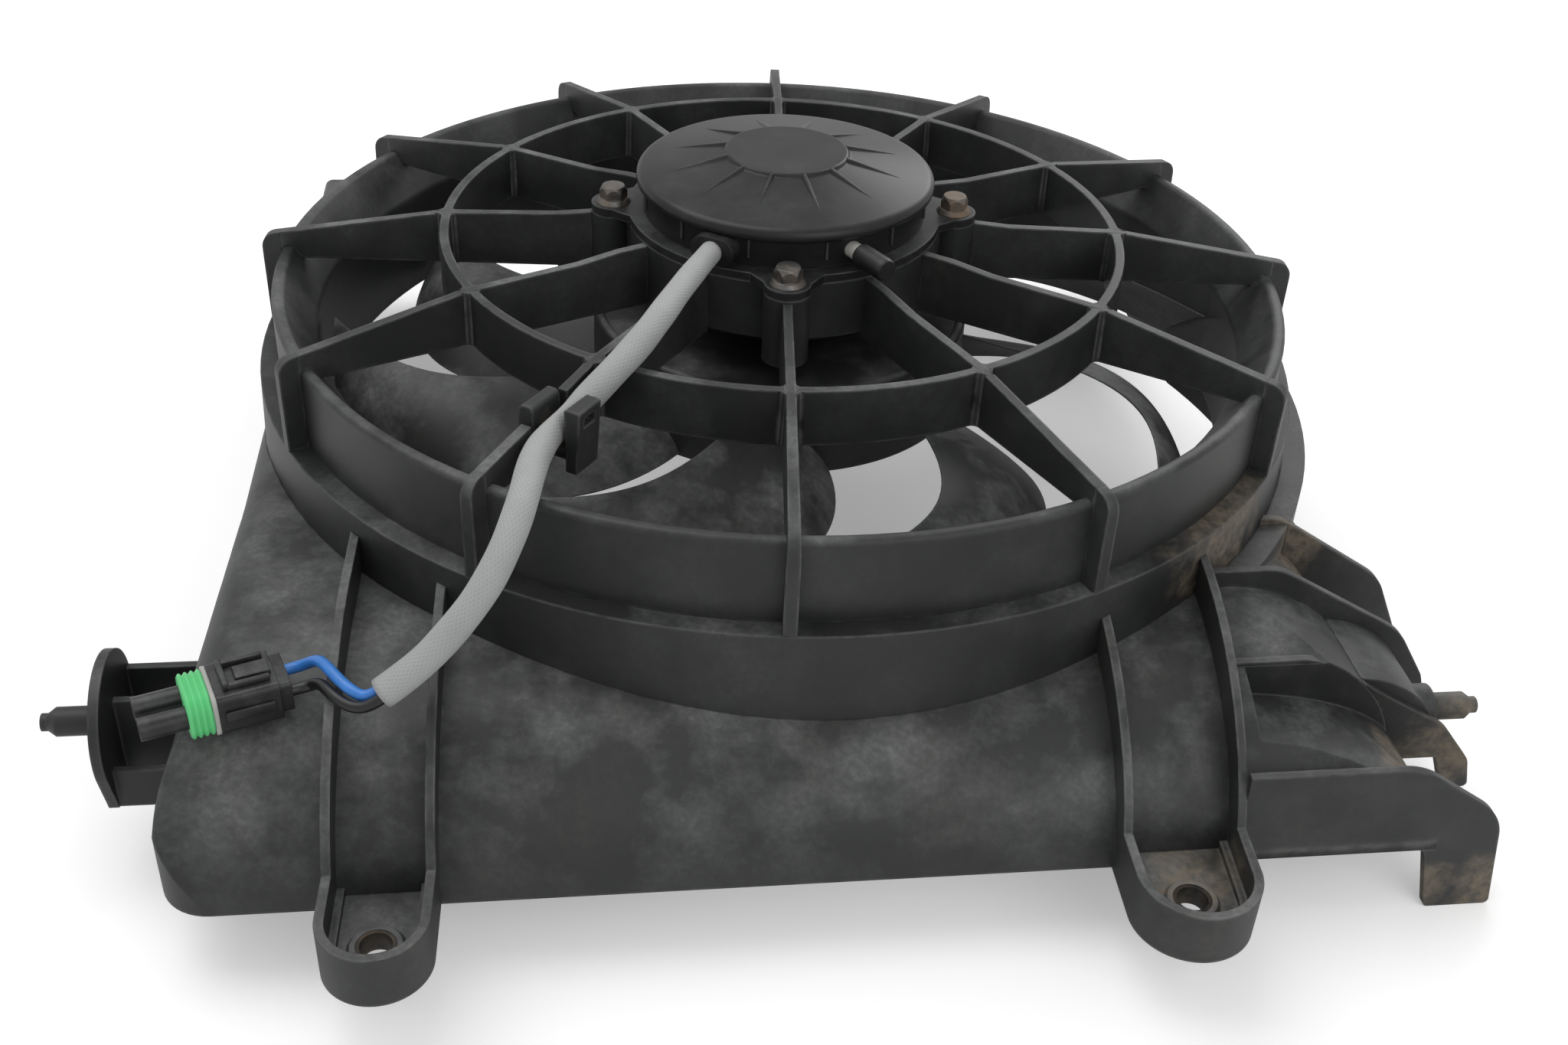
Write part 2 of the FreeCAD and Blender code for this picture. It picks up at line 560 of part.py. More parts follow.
# Cable gland, an oval rubber plug through the neck, with the leads inside
gland_dir = polar(1, GLAND_AZ)
gland_side = polar(1, GLAND_AZ + 90)
gland_z = FLANGE_TOP + GLAND_H / 2 + 0.1


def oval_along(direction, side, width, height, start, end, z):
    """Flat-sided oval bar along a horizontal direction, from one distance to another."""
    radius = height / 2
    reach = width / 2 - radius
    bar = None
    for offset in (-reach, reach):
        base = direction * start + side * offset + Vector(0, 0, z)
        piece = rod(base, base + direction * (end - start), radius)
        bar = piece if bar is None else bar.fuse(piece)
    corner = direction * start - side * reach + Vector(0, 0, z - radius)
    face = Part.Face(Part.makePolygon([corner, corner + side * 2 * reach, corner + side * 2 * reach + Z_AXIS * height,
                                       corner + Z_AXIS * height, corner]))
    return bar.fuse(face.extrude(direction * (end - start))).removeSplitter()


gland_inner_r = CAN_R - CAN_WALL - 1.5
gland_plug = oval_along(gland_dir, gland_side, GLAND_W - 5, GLAND_H - 4, gland_inner_r, NECK_R + 1, gland_z)
gland_head = oval_along(gland_dir, gland_side, GLAND_W, GLAND_H, NECK_R - 2, NECK_R + GLAND_OUT, gland_z)
cap = cap.cut(gland_plug)
gland_head = gland_head.cut(cap).cut(revolve([(0, 0), (NECK_R, 0), (NECK_R, NECK_TOP + 9), (0, NECK_TOP + 9)]))
gland = gland_head.fuse(gland_plug).cut(cap).removeSplitter()

# Vent stub and rubber cap
vent_dir = polar(1, VENT_YAW)
vent_base = polar(NECK_R - CAP_WALL, VENT_AZ, FLANGE_TOP + 6.2)
vent_end = vent_base + vent_dir * (CAP_WALL + VENT_L)
vent_collar = rod(vent_base, vent_end, VENT_R)
cap = cap.cut(vent_collar)
save("motor_cap", cap)
save("cap_seal", tube(seal_r + SEAL_W, seal_r, FLANGE_TOP, FLANGE_TOP + SEAL_H))
save("cable_gland", gland)
save("vent_collar", vent_collar)
cap_start = vent_end - vent_dir * VENT_CAP_LAP
vent_boot = rod(cap_start, cap_start + vent_dir * VENT_CAP_L, VENT_CAP_R)
boot_nose = Part.makeSphere(VENT_CAP_R, cap_start + vent_dir * VENT_CAP_L)
vent_boot = vent_boot.fuse(boot_nose.common(rod(cap_start, cap_start + vent_dir * (VENT_CAP_L + 2.4), VENT_CAP_R)))
save("vent_cap", vent_boot.cut(vent_collar).removeSplitter())
save("upper_bearing", tube(BEARING_R, SHAFT_R + RUNNING_FIT, seat_foot, disc_under))

# Brush holder, brushes, springs and leads
commutator_z = CORE_Z + CORE_H + WINDING_H + 1
holder_z = commutator_z + 1.0
holder = tube(CAN_R - CAN_WALL + 0.3, COMMUTATOR_R + 6, holder_z, holder_z + HOLDER_T)
brushes = []
springs = []
for k in range(BRUSH_COUNT):
    angle = RIB_PHASE + 15 + k * 360.0 / BRUSH_COUNT
    toward = polar(1, angle)
    across = polar(1, angle + 90)
    start_r = COMMUTATOR_R + BRUSH_GAP
    corners = [toward * start_r - across * (BRUSH_W / 2), toward * (start_r + BRUSH_L) - across * (BRUSH_W / 2),
               toward * (start_r + BRUSH_L) + across * (BRUSH_W / 2), toward * start_r + across * (BRUSH_W / 2)]
    brush = prism_z([(p.x, p.y) for p in corners], holder_z + 0.5, holder_z + HOLDER_T - 0.5)
    brush = brush.cut(disc(start_r, holder_z, holder_z + HOLDER_T))
    spring_start = toward * (start_r + BRUSH_L) + Vector(0, 0, holder_z + HOLDER_T / 2)
    spring = rod(spring_start, spring_start + toward * SPRING_L, SPRING_R - 0.2)
    holder = holder.cut(brush).cut(spring)
    brushes.append(brush)
    springs.append(spring)
gland_room = oval_along(gland_dir, gland_side, GLAND_W - 5 + 2 * HOLE_CLEARANCE, GLAND_H - 4 + 2 * HOLE_CLEARANCE,
                        gland_inner_r - HOLE_CLEARANCE, NECK_R, gland_z)
vent_room = rod(vent_base - vent_dir, vent_end, VENT_R + HOLE_CLEARANCE)
save("brush_holder", holder.cut(gland_room).cut(vent_room))
save("brushes", *brushes)
save("brush_springs", *springs)
leads = []
for offset in (-2.5, 2.5):
    start = gland_dir * gland_inner_r + gland_side * offset + Vector(0, 0, holder_z + HOLDER_T + 1)
    leads.append(rod(start, start - gland_dir * 16, 1.0))
save("motor_leads", *leads)

# Rotor of the motor
shaft_foot = HUB_BOSS_FOOT_Z - WASHER_H - NUT_H - SHAFT_TAIL
save("motor_shaft", disc(SHAFT_R, shaft_foot, disc_under - 0.5))
core = disc(CORE_R, CORE_Z, CORE_Z + CORE_H)
slot = prism_z([(CORE_R + 1, -1.2), (CORE_R - 3, -1.2), (CORE_R - 4, -3.2, 1), (CORE_R - 16, -3.2, 1),
                (CORE_R - 16, 3.2, 1), (CORE_R - 4, 3.2, 1), (CORE_R - 3, 1.2), (CORE_R + 1, 1.2)],
               CORE_Z, CORE_Z + CORE_H)
for slot_copy in ring_of(slot, SLOT_COUNT, 0):
    core = core.cut(slot_copy)
core = core.cut(disc(SHAFT_R, CORE_Z, CORE_Z + CORE_H))
save("armature_core", core)
winding_in = COMMUTATOR_R + 6
save("armature_windings",
     revolve([(winding_in, CORE_Z - WINDING_H), (CORE_R - 5, CORE_Z - WINDING_H, 2.5), (CORE_R - 5, CORE_Z),
              (winding_in, CORE_Z)]),
     revolve([(winding_in, CORE_Z + CORE_H), (CORE_R - 5, CORE_Z + CORE_H),
              (CORE_R - 5, CORE_Z + CORE_H + WINDING_H, 2.5), (winding_in, CORE_Z + CORE_H + WINDING_H)]))
save("commutator", tube(COMMUTATOR_R, SHAFT_R, CORE_Z + CORE_H, commutator_z + COMMUTATOR_H))

# Fan hub
hub = revolve([(SHAFT_R, HUB_BOSS_FOOT_Z), (HUB_BOSS_R, HUB_BOSS_FOOT_Z), (HUB_BOSS_R + 1, HUB_TOP_Z - 5, 2),
               (HUB_R - HUB_WALL, HUB_TOP_Z - 5, 3), (HUB_R - HUB_WALL, HUB_FOOT_Z), (HUB_R, HUB_FOOT_Z),
               (HUB_R, HUB_TOP_Z, 2.0), (HUB_R - 3, HUB_TOP_Z, 0.4), (HUB_R - 4, HUB_TOP_Z - 1.4, 0.4),
               (SHAFT_R, HUB_TOP_Z - 1.4)])
hub_rib = prism_y([(HUB_BOSS_R, HUB_TOP_Z - 5), (HUB_BOSS_R, HUB_TOP_Z - 20), (HUB_R - HUB_WALL, HUB_TOP_Z - 12),
                   (HUB_R - HUB_WALL, HUB_TOP_Z - 5)], -1.2, 1.2)
for rib in ring_of(hub_rib, HUB_RIB_COUNT, 0):
    hub = hub.fuse(rib)
save("fan_hub", hub.removeSplitter())
washer_z = HUB_BOSS_FOOT_Z - WASHER_H
save("hub_washer", tube(WASHER_R, SHAFT_R, washer_z, HUB_BOSS_FOOT_Z))
nut = hexagon(NUT_FLATS, washer_z - NUT_H, washer_z).cut(disc(SHAFT_R, washer_z - NUT_H, washer_z))
save("hub_nut", nut)

# Fan blades: cambered, twisted and swept forward, lofted through five sections
BLADE_SECTIONS = [  # radius, azimuth of the high edge, azimuth of the low edge
    (HUB_R - 6, -55.0, -33.0), (110.0, -63.0, -36.5), (138.0, -68.0, -44.0), (165.0, -77.0, -58.5),
    (BLADE_TIP_R + 2, -90.0, -79.0)]


def blade_section(radius, high_az, low_az):
    """Closed thin aerofoil in the plane square to the radius at the middle of the chord."""
    middle = (high_az + low_az) / 2
    centre = polar(radius, middle, (BLADE_HIGH_Z + BLADE_LOW_Z) / 2)
    along = polar(1, middle + 90)
    half = radius * math.sin(math.radians((low_az - high_az) / 2))
    rise = (BLADE_HIGH_Z - BLADE_LOW_Z) / 2
    chord = along * half - Z_AXIS * rise
    normal = chord.cross(polar(1, middle))
    normal.normalize()
    if normal.z < 0:
        normal = normal * -1
    camber = chord.Length * 2 * BLADE_CAMBER
    upper = []
    lower = []
    for step in (-1.0, -0.6, 0.0, 0.6, 1.0):
        swell = 1 - step * step
        spine = centre + chord * step + normal * (camber * swell)
        thick = 0.35 + (BLADE_T / 2 - 0.35) * swell
        upper.append(spine + normal * thick)
        lower.append(spine - normal * thick)
    top = Part.BSplineCurve()
    top.interpolate(upper)
    bottom = Part.BSplineCurve()
    bottom.interpolate(lower[::-1])
    return Part.Wire([top.toShape(), Part.makeLine(upper[-1], lower[-1]), bottom.toShape(),
                      Part.makeLine(lower[0], upper[0])])


blade = Part.makeLoft([blade_section(*row) for row in BLADE_SECTIONS], True, False)
blade = blade.common(tube(BLADE_TIP_R, HUB_R, BLADE_LOW_Z - 12, BLADE_HIGH_Z + 12))
save("fan_blades", *ring_of(blade, BLADE_COUNT, BLADE_PHASE))


# Mounting tabs: open channels that run down the front face to a round foot
def tab_plan(tab, inset):
    """Foot circle joined to the channel's two back corners by straight sides."""
    radius = tab["r"] - inset
    left = (tab["back_left"] + inset, TAB_BACK_Y)
    right = (tab["back_right"] - inset, TAB_BACK_Y)
    return [(tab["x"] - radius, tab["y"]), left, right, (tab["x"] + radius, tab["y"])]


def tab_prism(tab, inset, low, high):
    foot = disc(tab["r"] - inset, low, high, tab["x"], tab["y"])
    return foot.fuse(prism_z(tab_plan(tab, inset), low, high)).removeSplitter()


def tab_side():
    """Side outline of the channel's walls: level rim at the foot, then along the front face."""
    crown_y = FRONT_Y + FRONT_RUN
    run = FRONT_RUN + TAB_PROUD_Y
    height = PLENUM_H + TAB_PROUD_Z
    start = math.asin(TAB_RIM / height)
    curve = elliptic(Vector(-BIG, crown_y, 0), Vector(0, -run, 0), Vector(0, 0, height), start)
    low_end = Vector(-BIG, crown_y - run * math.cos(start), TAB_RIM)
    corners = [Vector(-BIG, crown_y, height), Vector(-BIG, 0, height), Vector(-BIG, 0, 0), Vector(-BIG, -BIG, 0),
               Vector(-BIG, -BIG, TAB_RIM), low_end]
    edges = [curve] + [Part.makeLine(a, b) for a, b in zip(corners, corners[1:])]
    return closed_face(edges).extrude(Vector(2 * BIG, 0, 0))


def tab_node(tab):
    body = tab_prism(tab, 0, 0, 2 * PLENUM_H).common(tab_side())
    low = tab_prism(tab, TAB_WALL + TAB_FLOOR_INSET, TAB_FLOOR, TAB_LEDGE_Z)
    high = tab_prism(tab, TAB_WALL, TAB_LEDGE_Z, 2 * PLENUM_H)
    body = body.cut(low).cut(high)
    collar = Part.makeCone(COLLAR_R, COLLAR_R - 1.2, COLLAR_H, Vector(tab["x"], tab["y"], TAB_FLOOR))
    body = body.fuse(collar).cut(disc(TAB_HOLE_R + SLEEVE_WALL, -1, TAB_RIM, tab["x"], tab["y"]))
    return body.cut(hood_outside).cut(barrel_outside(0))


left_tab = tab_node(LEFT_TAB)
right_tab = tab_node(RIGHT_TAB)
save("left_tab", left_tab)
save("right_tab", right_tab)
save("tab_sleeves", *[tube(TAB_HOLE_R + SLEEVE_WALL, TAB_HOLE_R, 0, TAB_FLOOR + COLLAR_H, tab["x"], tab["y"])
                      for tab in (LEFT_TAB, RIGHT_TAB)])

# Pin block between the second and third fins, with its pin
block = rounded_end(BLOCK_X, BLOCK_RUN, BLOCK_H, 0, FIN_2_Y + FIN_T / 2, FIN_3_Y - FIN_T / 2)
block = block.common(Part.makeBox(BIG, BIG, BIG, Vector(LOBE_X, -BIG / 2, 0))).cut(hood_outside)


def pin_along_x(root, tip, y, z):
    """Locating pin with a stepped, chamfered nose."""
    sign = 1 if tip > root else -1
    end = tip - sign * PIN_NOSE
    body = rod(Vector(root, y, z), Vector(end, y, z), PIN_R)
    nose = Part.makeCone(PIN_R, PIN_NOSE_R, PIN_NOSE * 0.55, Vector(end, y, z), Vector(sign, 0, 0))
    stub = rod(Vector(end, y, z), Vector(tip, y, z), PIN_NOSE_R)
    return body.fuse(nose).fuse(stub).removeSplitter()


right_pin = pin_along_x(BLOCK_X + 20, RIGHT_PIN_TIP_X, RIGHT_PIN_Y, RIGHT_PIN_Z)
shoulder = rod(Vector(BLOCK_X, RIGHT_PIN_Y, RIGHT_PIN_Z), Vector(PIN_SEAT_X, RIGHT_PIN_Y, RIGHT_PIN_Z), PIN_SEAT_R)
beyond = rod(Vector(PIN_SEAT_X, RIGHT_PIN_Y, RIGHT_PIN_Z), Vector(BIG, RIGHT_PIN_Y, RIGHT_PIN_Z), PIN_SEAT_R)
block = block.cut(beyond).fuse(shoulder).fuse(right_pin).cut(hood_outside).removeSplitter()
save("right_pin_block", block)

# Four fins at the right end, the first with the hook
# Side outlines, with X counted from the start of the rounded end
FIN_OUTLINES = [
    (FIN_1_Y, [(-50, 0), (-50, 38.4), (47, 38.4, 24), (81, 15, 22), (88, HOOK_FOOT_Z, 2), (63, HOOK_FOOT_Z, 2),
               (FIN_FOOT, 0, 3)]),
    (FIN_2_Y, [(-50, 0), (-50, 49.4), (23, 50.4, 20), (81, 15, 22), (94.5, -2, 10), (98, FIN_2_TOE_Z, 2),
               (87, FIN_2_TOE_Z, 2), (81, 0, 2)]),
    (FIN_3_Y, [(-50, 0), (-50, 61.8), (21.5, 61.8, 20), (76, 30, 26), (90, 8, 12), (96, FIN_3_TOE_Z, 2),
               (87, FIN_3_TOE_Z, 2), (82, 0, 2)]),
    (FIN_4_Y, [(-50, 0), (-50, 57.8), (36, 57.8, 16), (84, 27, 22), (97, 0)])]


def from_lobe(corners):
    return [(LOBE_X + corner[0], *corner[1:]) for corner in corners]


fins = []
for fin_y, corners in FIN_OUTLINES:
    fin = prism_y(from_lobe(corners), fin_y - FIN_T / 2, fin_y + FIN_T / 2)
    fin = fin.cut(hood_outside).cut(barrel_outside(0)).cut(tab_prism(RIGHT_TAB, 0, -1, 2 * PLENUM_H))
    fin = fin.common(Part.makeBox(BIG, BIG, BIG, Vector(RIGHT_TAB["x"], -BIG / 2, -BIG / 2)))
    fins.append(fin)
hook_back_y = FIN_1_Y + HOOK_DEPTH
return_web = prism_y(from_lobe([(81, 2), (86, 2), (89, HOOK_FOOT_Z), (84.5, HOOK_FOOT_Z)]), FIN_1_Y, hook_back_y)
back_leg = prism_y(from_lobe([(50, 0), (81, 2, 4), (88, HOOK_FOOT_Z + 7, 2), (72, HOOK_FOOT_Z + 7, 2),
                              (FIN_FOOT + 8, 0)]), hook_back_y - FIN_T, hook_back_y)
hook_outline = prism_y(from_lobe(FIN_OUTLINES[0][1]), FIN_1_Y, hook_back_y)
hook = return_web.fuse(back_leg).common(hook_outline)
fins[0] = fins[0].fuse(hook).cut(hood_outside).removeSplitter()
save("side_fins", *[fin.cut(block) for fin in fins])

# Left flange: round plate, three webs to the plenum's wall, and the left pin
flange_in = FLANGE_X + FLANGE_T
plate = prism_x([(LEFT_PIN_Y - 17.5, -2), (LEFT_PIN_Y + 18, -2), (LEFT_PIN_Y + 24, 12), (LEFT_PIN_Y - 24, 18)],
                FLANGE_X, flange_in)
plate = plate.fuse(rod(Vector(FLANGE_X, LEFT_PIN_Y, LEFT_PIN_Z), Vector(flange_in, LEFT_PIN_Y, LEFT_PIN_Z), FLANGE_R))
plate = plate.common(Part.makeBox(BIG, BIG, BIG, Vector(-BIG / 2, -BIG / 2, 0)))
flange_root = LEFT_X + 20
for web_y, foot, top in ((LEFT_PIN_Y + 22, 8, LEFT_PIN_Z + 6), (LEFT_PIN_Y, 0, LEFT_PIN_Z + 9),
                         (LEFT_PIN_Y - 16, 0, LEFT_PIN_Z - 9)):
    web = prism_y([(flange_in, foot), (flange_in, top), (flange_root, top), (flange_root, foot)],
                  web_y - WALL / 2, web_y + WALL / 2)
    plate = plate.fuse(web)
left_pin = pin_along_x(FLANGE_X, LEFT_PIN_TIP_X, LEFT_PIN_Y, LEFT_PIN_Z)
save("left_flange", plate.fuse(left_pin).cut(hood_outside).cut(hood(WALL)).removeSplitter())

# Cable clip beside the twelfth rib: a hooked ear on the rib, a floor and a slotted post
post_out = CLIP_POST_IN + CLIP_POST_W
post = prism_x([(CLIP_POST_IN, CLIP_FLOOR_Z - CLIP_FLOOR_T), (CLIP_POST_IN, CLIP_POST_TOP, 1),
                (post_out, CLIP_POST_TOP, 1), (post_out - 2, CLIP_FLOOR_Z - CLIP_FLOOR_T)],
               CLIP_R - CLIP_L / 2, CLIP_R + CLIP_L / 2)
slot_cut = prism_x([(CLIP_POST_IN - 1, CLIP_POST_TOP - 7), (CLIP_POST_IN - 1, CLIP_POST_TOP - 3),
                    (post_out + 1, CLIP_POST_TOP - 3), (post_out + 1, CLIP_POST_TOP - 7)],
                   CLIP_R - CLIP_L / 4, CLIP_R + CLIP_L / 4)
clip_floor = prism_x([(0, CLIP_FLOOR_Z), (0, notch_z), (CLIP_POST_IN + 1, notch_z), (CLIP_POST_IN + 1, CLIP_FLOOR_Z)],
                     CLIP_R - CLIP_L / 2 + 2, CLIP_R + CLIP_L / 2 - 2)
ear_out = CLIP_EAR_IN - CLIP_EAR_W
ear = prism_x([(ear_out, CLIP_FLOOR_Z), (ear_out, CLIP_EAR_TOP, 2), (CLIP_EAR_IN, CLIP_EAR_TOP, 2),
               (CLIP_EAR_IN, CLIP_FLOOR_Z)], CLIP_R - CLIP_EAR_L / 2, CLIP_R + CLIP_EAR_L / 2)
clip = turned(post.fuse(clip_floor).cut(slot_cut).fuse(ear), RIB_PHASE - 360.0 / RIB_COUNT)
clip = clip.cut(Part.makeCompound(arms)).cut(bell)
save("cable_clip", clip)


# Cable: straight runs joined by tangent arcs
def cord(node, route, radius):
    points = [Vector(*point) for point in route]
    edges = []
    here = points[0]
    radii = []
    for i in range(1, len(points) - 1):
        back = points[i - 1] - points[i]
        ahead = points[i + 1] - points[i]
        shorter = min(back.Length, ahead.Length)
        turn = math.pi - back.getAngle(ahead)
        bend = 0.45 * shorter / math.tan(turn / 2)
        radii.append(round(bend, 1))
        reach = 0.45 * shorter
        back.normalize()
        ahead.normalize()
        start = points[i] + back * reach
        end = points[i] + ahead * reach
        inward = back + ahead
        inward.normalize()
        middle = points[i] + inward * (bend / math.cos(turn / 2) - bend)
        edges.append(Part.LineSegment(here, start).toShape())
        edges.append(Part.Arc(start, middle, end).toShape())
        here = end
    edges.append(Part.LineSegment(here, points[-1]).toShape())
    path = Part.Wire(edges)
    mouth = Part.Wire(Part.makeCircle(radius, points[0], points[1] - points[0]))
    solid = path.makePipeShell([mouth], True, True)
    print(node, "radii", radii, "length", round(path.Length, 1), "volume ratio",
          round(solid.Volume / (math.pi * radius ** 2 * path.Length), 4))
    save(node, solid)


cord("cable_sleeve", SLEEVE_ROUTE, SLEEVE_R)
cord("blue_wire", BLUE_ROUTE, WIRE_R)
cord("black_wire", BLACK_ROUTE, WIRE_R)

# Connector, drawn along X from its rear face and then turned into place
def placed(shape):
    copy = shape.copy()
    copy.rotate(ORIGIN, Z_AXIS, CONNECTOR_YAW)
    copy.translate(Vector(*CONNECTOR_REAR))
    return copy


def flat_block(width, height, start, end, radius):
    half_w = width / 2
    half_h = height / 2
    return prism_x([(-half_w, -half_h, radius), (half_w, -half_h, radius), (half_w, half_h, radius),
                    (-half_w, half_h, radius)], start, end)


body_end = RETAINER_L + CONNECTOR_L
tower_end = body_end + SEAL_L + TOWER_L
towers = [rod(Vector(body_end, side * WIRE_SPREAD, 0), Vector(tower_end, side * WIRE_SPREAD, 0), TOWER_R)
          for side in (-1, 1)]
housing = flat_block(CONNECTOR_W, CONNECTOR_H, RETAINER_L, body_end, 2.0)
for tower in towers:
    housing = housing.fuse(tower)
contacts = []
for side in (-1, 1):
    inner = rod(Vector(RETAINER_L, side * WIRE_SPREAD, 0), Vector(tower_end - 2, side * WIRE_SPREAD, 0), CONTACT_R)
    housing = housing.cut(rod(Vector(0, side * WIRE_SPREAD, 0), Vector(BIG, side * WIRE_SPREAD, 0), CONTACT_R))
    contacts.append(placed(inner))
seal = flat_block(CONNECTOR_SEAL_W, CONNECTOR_SEAL_H, body_end, body_end + SEAL_L, 7.0)
for tower in towers:
    seal = seal.cut(tower)
retainer = flat_block(CONNECTOR_W - 3, CONNECTOR_H - 3, 0, RETAINER_L, 1.5)
save("connector_housing", placed(housing))
save("connector_seal", placed(seal))
save("connector_retainer", placed(retainer))
save("connector_contacts", *contacts)
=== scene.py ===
"""Radiator cooling fan: finishes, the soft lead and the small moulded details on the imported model."""

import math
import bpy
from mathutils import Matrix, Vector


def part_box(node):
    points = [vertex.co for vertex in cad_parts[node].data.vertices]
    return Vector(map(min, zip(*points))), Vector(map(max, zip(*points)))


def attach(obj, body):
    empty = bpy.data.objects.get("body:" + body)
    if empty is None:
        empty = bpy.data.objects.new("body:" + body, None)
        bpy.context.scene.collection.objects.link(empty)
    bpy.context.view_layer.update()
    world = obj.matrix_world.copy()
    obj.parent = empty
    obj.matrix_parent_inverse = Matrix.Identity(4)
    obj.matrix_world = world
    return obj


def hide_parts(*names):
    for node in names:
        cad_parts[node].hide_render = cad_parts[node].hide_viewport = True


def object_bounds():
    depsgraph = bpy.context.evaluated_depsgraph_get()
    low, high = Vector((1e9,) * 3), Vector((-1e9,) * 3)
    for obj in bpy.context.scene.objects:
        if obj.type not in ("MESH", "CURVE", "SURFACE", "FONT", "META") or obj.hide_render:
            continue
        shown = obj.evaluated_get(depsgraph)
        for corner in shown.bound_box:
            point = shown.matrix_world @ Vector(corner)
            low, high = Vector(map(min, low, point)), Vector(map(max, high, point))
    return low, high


bl_info = {
    "name": "Radiator cooling fan",
    "version": (1, 0, 0),
    "blender": (4, 5, 0),
    "location": "View3D > Sidebar > Cooling fan",
    "description": "Finishes a packed cooling fan with dusty plastic, a satin motor, and a woven lead",
    "category": "Object",
}

import bmesh
import bpy
from mathutils import Matrix, Vector

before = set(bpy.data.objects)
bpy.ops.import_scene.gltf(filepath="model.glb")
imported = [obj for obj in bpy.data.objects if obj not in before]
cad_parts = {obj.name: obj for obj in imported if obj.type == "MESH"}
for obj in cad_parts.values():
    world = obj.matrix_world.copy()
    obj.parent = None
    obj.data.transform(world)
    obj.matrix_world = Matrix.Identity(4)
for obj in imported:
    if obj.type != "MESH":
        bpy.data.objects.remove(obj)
CAD_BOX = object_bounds()

MM = 0.001
# Lead, in millimetres in the fan's own frame: the solids' route, moved a little towards the photograph
SLEEVE_ROUTE = [
    (-34.95, -54.87, 140.8), (-40.4, -66.5, 140.8), (-48.5, -84.5, 140.6), (-57.0, -104.0, 139.6),
    (-65.5, -119.5, 136.5), (-76.5, -129.4, 129.3), (-88.5, -137.7, 120.3), (-100.0, -152.8, 117.4),
    (-104.0, -167.1, 117.3), (-107.0, -190.0, 117.2), (-112.0, -205.5, 111.0), (-119.5, -213.5, 99.5),
    (-130.0, -217.5, 86.5), (-142.5, -221.2, 74.0), (-154.0, -224.3, 67.0)]
BLUE_ROUTE = [(-154.6, -222.2, 66.95), (-158.8, -223.3, 64.5), (-163.4, -221.4, 65.6), (-168.4, -216.0, 66.5),
              (-173.0, -208.6, 66.6), (-176.9, -202.4, 64.6), (-183.3, -198.6, 59.0), (-188.9, -200.7, 59.0)]
BLACK_ROUTE = [(-153.45, -226.45, 66.95), (-157.6, -227.6, 64.5), (-162.6, -226.6, 63.2), (-167.4, -223.0, 63.0),
               (-172.0, -217.6, 63.4), (-175.4, -211.8, 62.2), (-179.9, -209.35, 59.0), (-185.0, -211.25, 59.0)]
# Lengths of the cords and the sleeve's shape, in metres
BLUE_LENGTH = 0.0479
BLACK_LENGTH = 0.0408
SLEEVE_SIDES = 28
PINCH_AT = Vector((-0.0945, -0.1450, 0.1184))      # where the clip squeezes the sleeve
PINCH_REACH = 0.016                                # how far from there the squeeze is felt
PINCH_RISE = 0.12                                  # how much taller the sleeve stands there
GLAND_SHARE = 0.84                                 # share of its radius that the sleeve has at the gland
GLAND_REACH = 0.07                                 # distance from there at which it has all of it
UNEVEN_SHARE = 0.012                               # how much the woven sleeve's radius wavers
UNEVEN_STEP = 0.37

# Connector, in metres: its own frame has X along the towers
CONNECTOR_REAR = Vector((-0.187, -0.206, 0.059))
CONNECTOR_YAW = math.radians(200.3)
HOUSING_END = 0.024
HOUSING_TOP = 0.0075
# Pale strip and green seal: where they start and end, and (half width, half height, corner radius)
STRIP_START = HOUSING_END + 0.0001
STRIP_END = HOUSING_END + 0.0016
STRIP_SECTION = (0.0108, 0.0078, 0.0030)
SEAL_END = 0.0335
SEAL_SECTION = (0.0115, 0.0085, 0.0068)
# One lip of the seal: (share of its pitch, share of its height)
LIP_PROFILE = ((0.0, 0.0), (0.18, 0.55), (0.38, 1.0), (0.58, 1.0), (0.80, 0.5), (0.98, 0.0))
# Latch and rails on the housing, each a block between two corners
LATCH_BLOCKS = {
    "latch_left": ((0.006, 0.0052, HOUSING_TOP), (0.021, 0.0070, HOUSING_TOP + 0.0022)),
    "latch_right": ((0.006, -0.0070, HOUSING_TOP), (0.021, -0.0052, HOUSING_TOP + 0.0022)),
    "latch_front": ((0.0192, -0.0070, HOUSING_TOP), (0.0212, 0.0070, HOUSING_TOP + 0.0030)),
    "latch_tongue": ((0.005, -0.0034, HOUSING_TOP), (0.0165, 0.0034, HOUSING_TOP + 0.0016)),
    "side_rail_left": ((0.006, 0.0104, -0.002), (0.022, 0.0116, 0.002)),
    "side_rail_right": ((0.006, -0.0116, -0.002), (0.022, -0.0104, 0.002))}
BLOCK_BEVEL = 0.0004
CORNER_STEPS = 5                                   # segments in each rounded corner of the strip and seal
CONNECTOR_DETAILS = ("seal_ribs", "pale_strip", *LATCH_BLOCKS)

# Camera, solved from the ribs and the ring
CAMERA_PLACE = Vector((-0.0888, -0.6681, 0.4360))
CAMERA_RIGHT = Vector((0.9928, -0.1131, 0.0414))
CAMERA_UP = Vector((0.0301, 0.5653, 0.8245))
CAMERA_BACK = Vector((-0.1167, -0.8172, 0.5645))
# Lamps: (where each stands, what it is aimed at, how wide it is)
LAMPS = {
    "key": ((-0.55, 0.25, 1.55), (0.0, 0.0, 0.1), 1.3),
    "fill": ((0.55, -1.25, 0.85), (0.0, -0.1, 0.05), 1.0),
    "back": ((0.75, 1.05, 0.75), (0.0, 0.0, 0.1), 0.7)}
FLOOR_REACH = 4.0
FLOOR_GLOW = 0.30

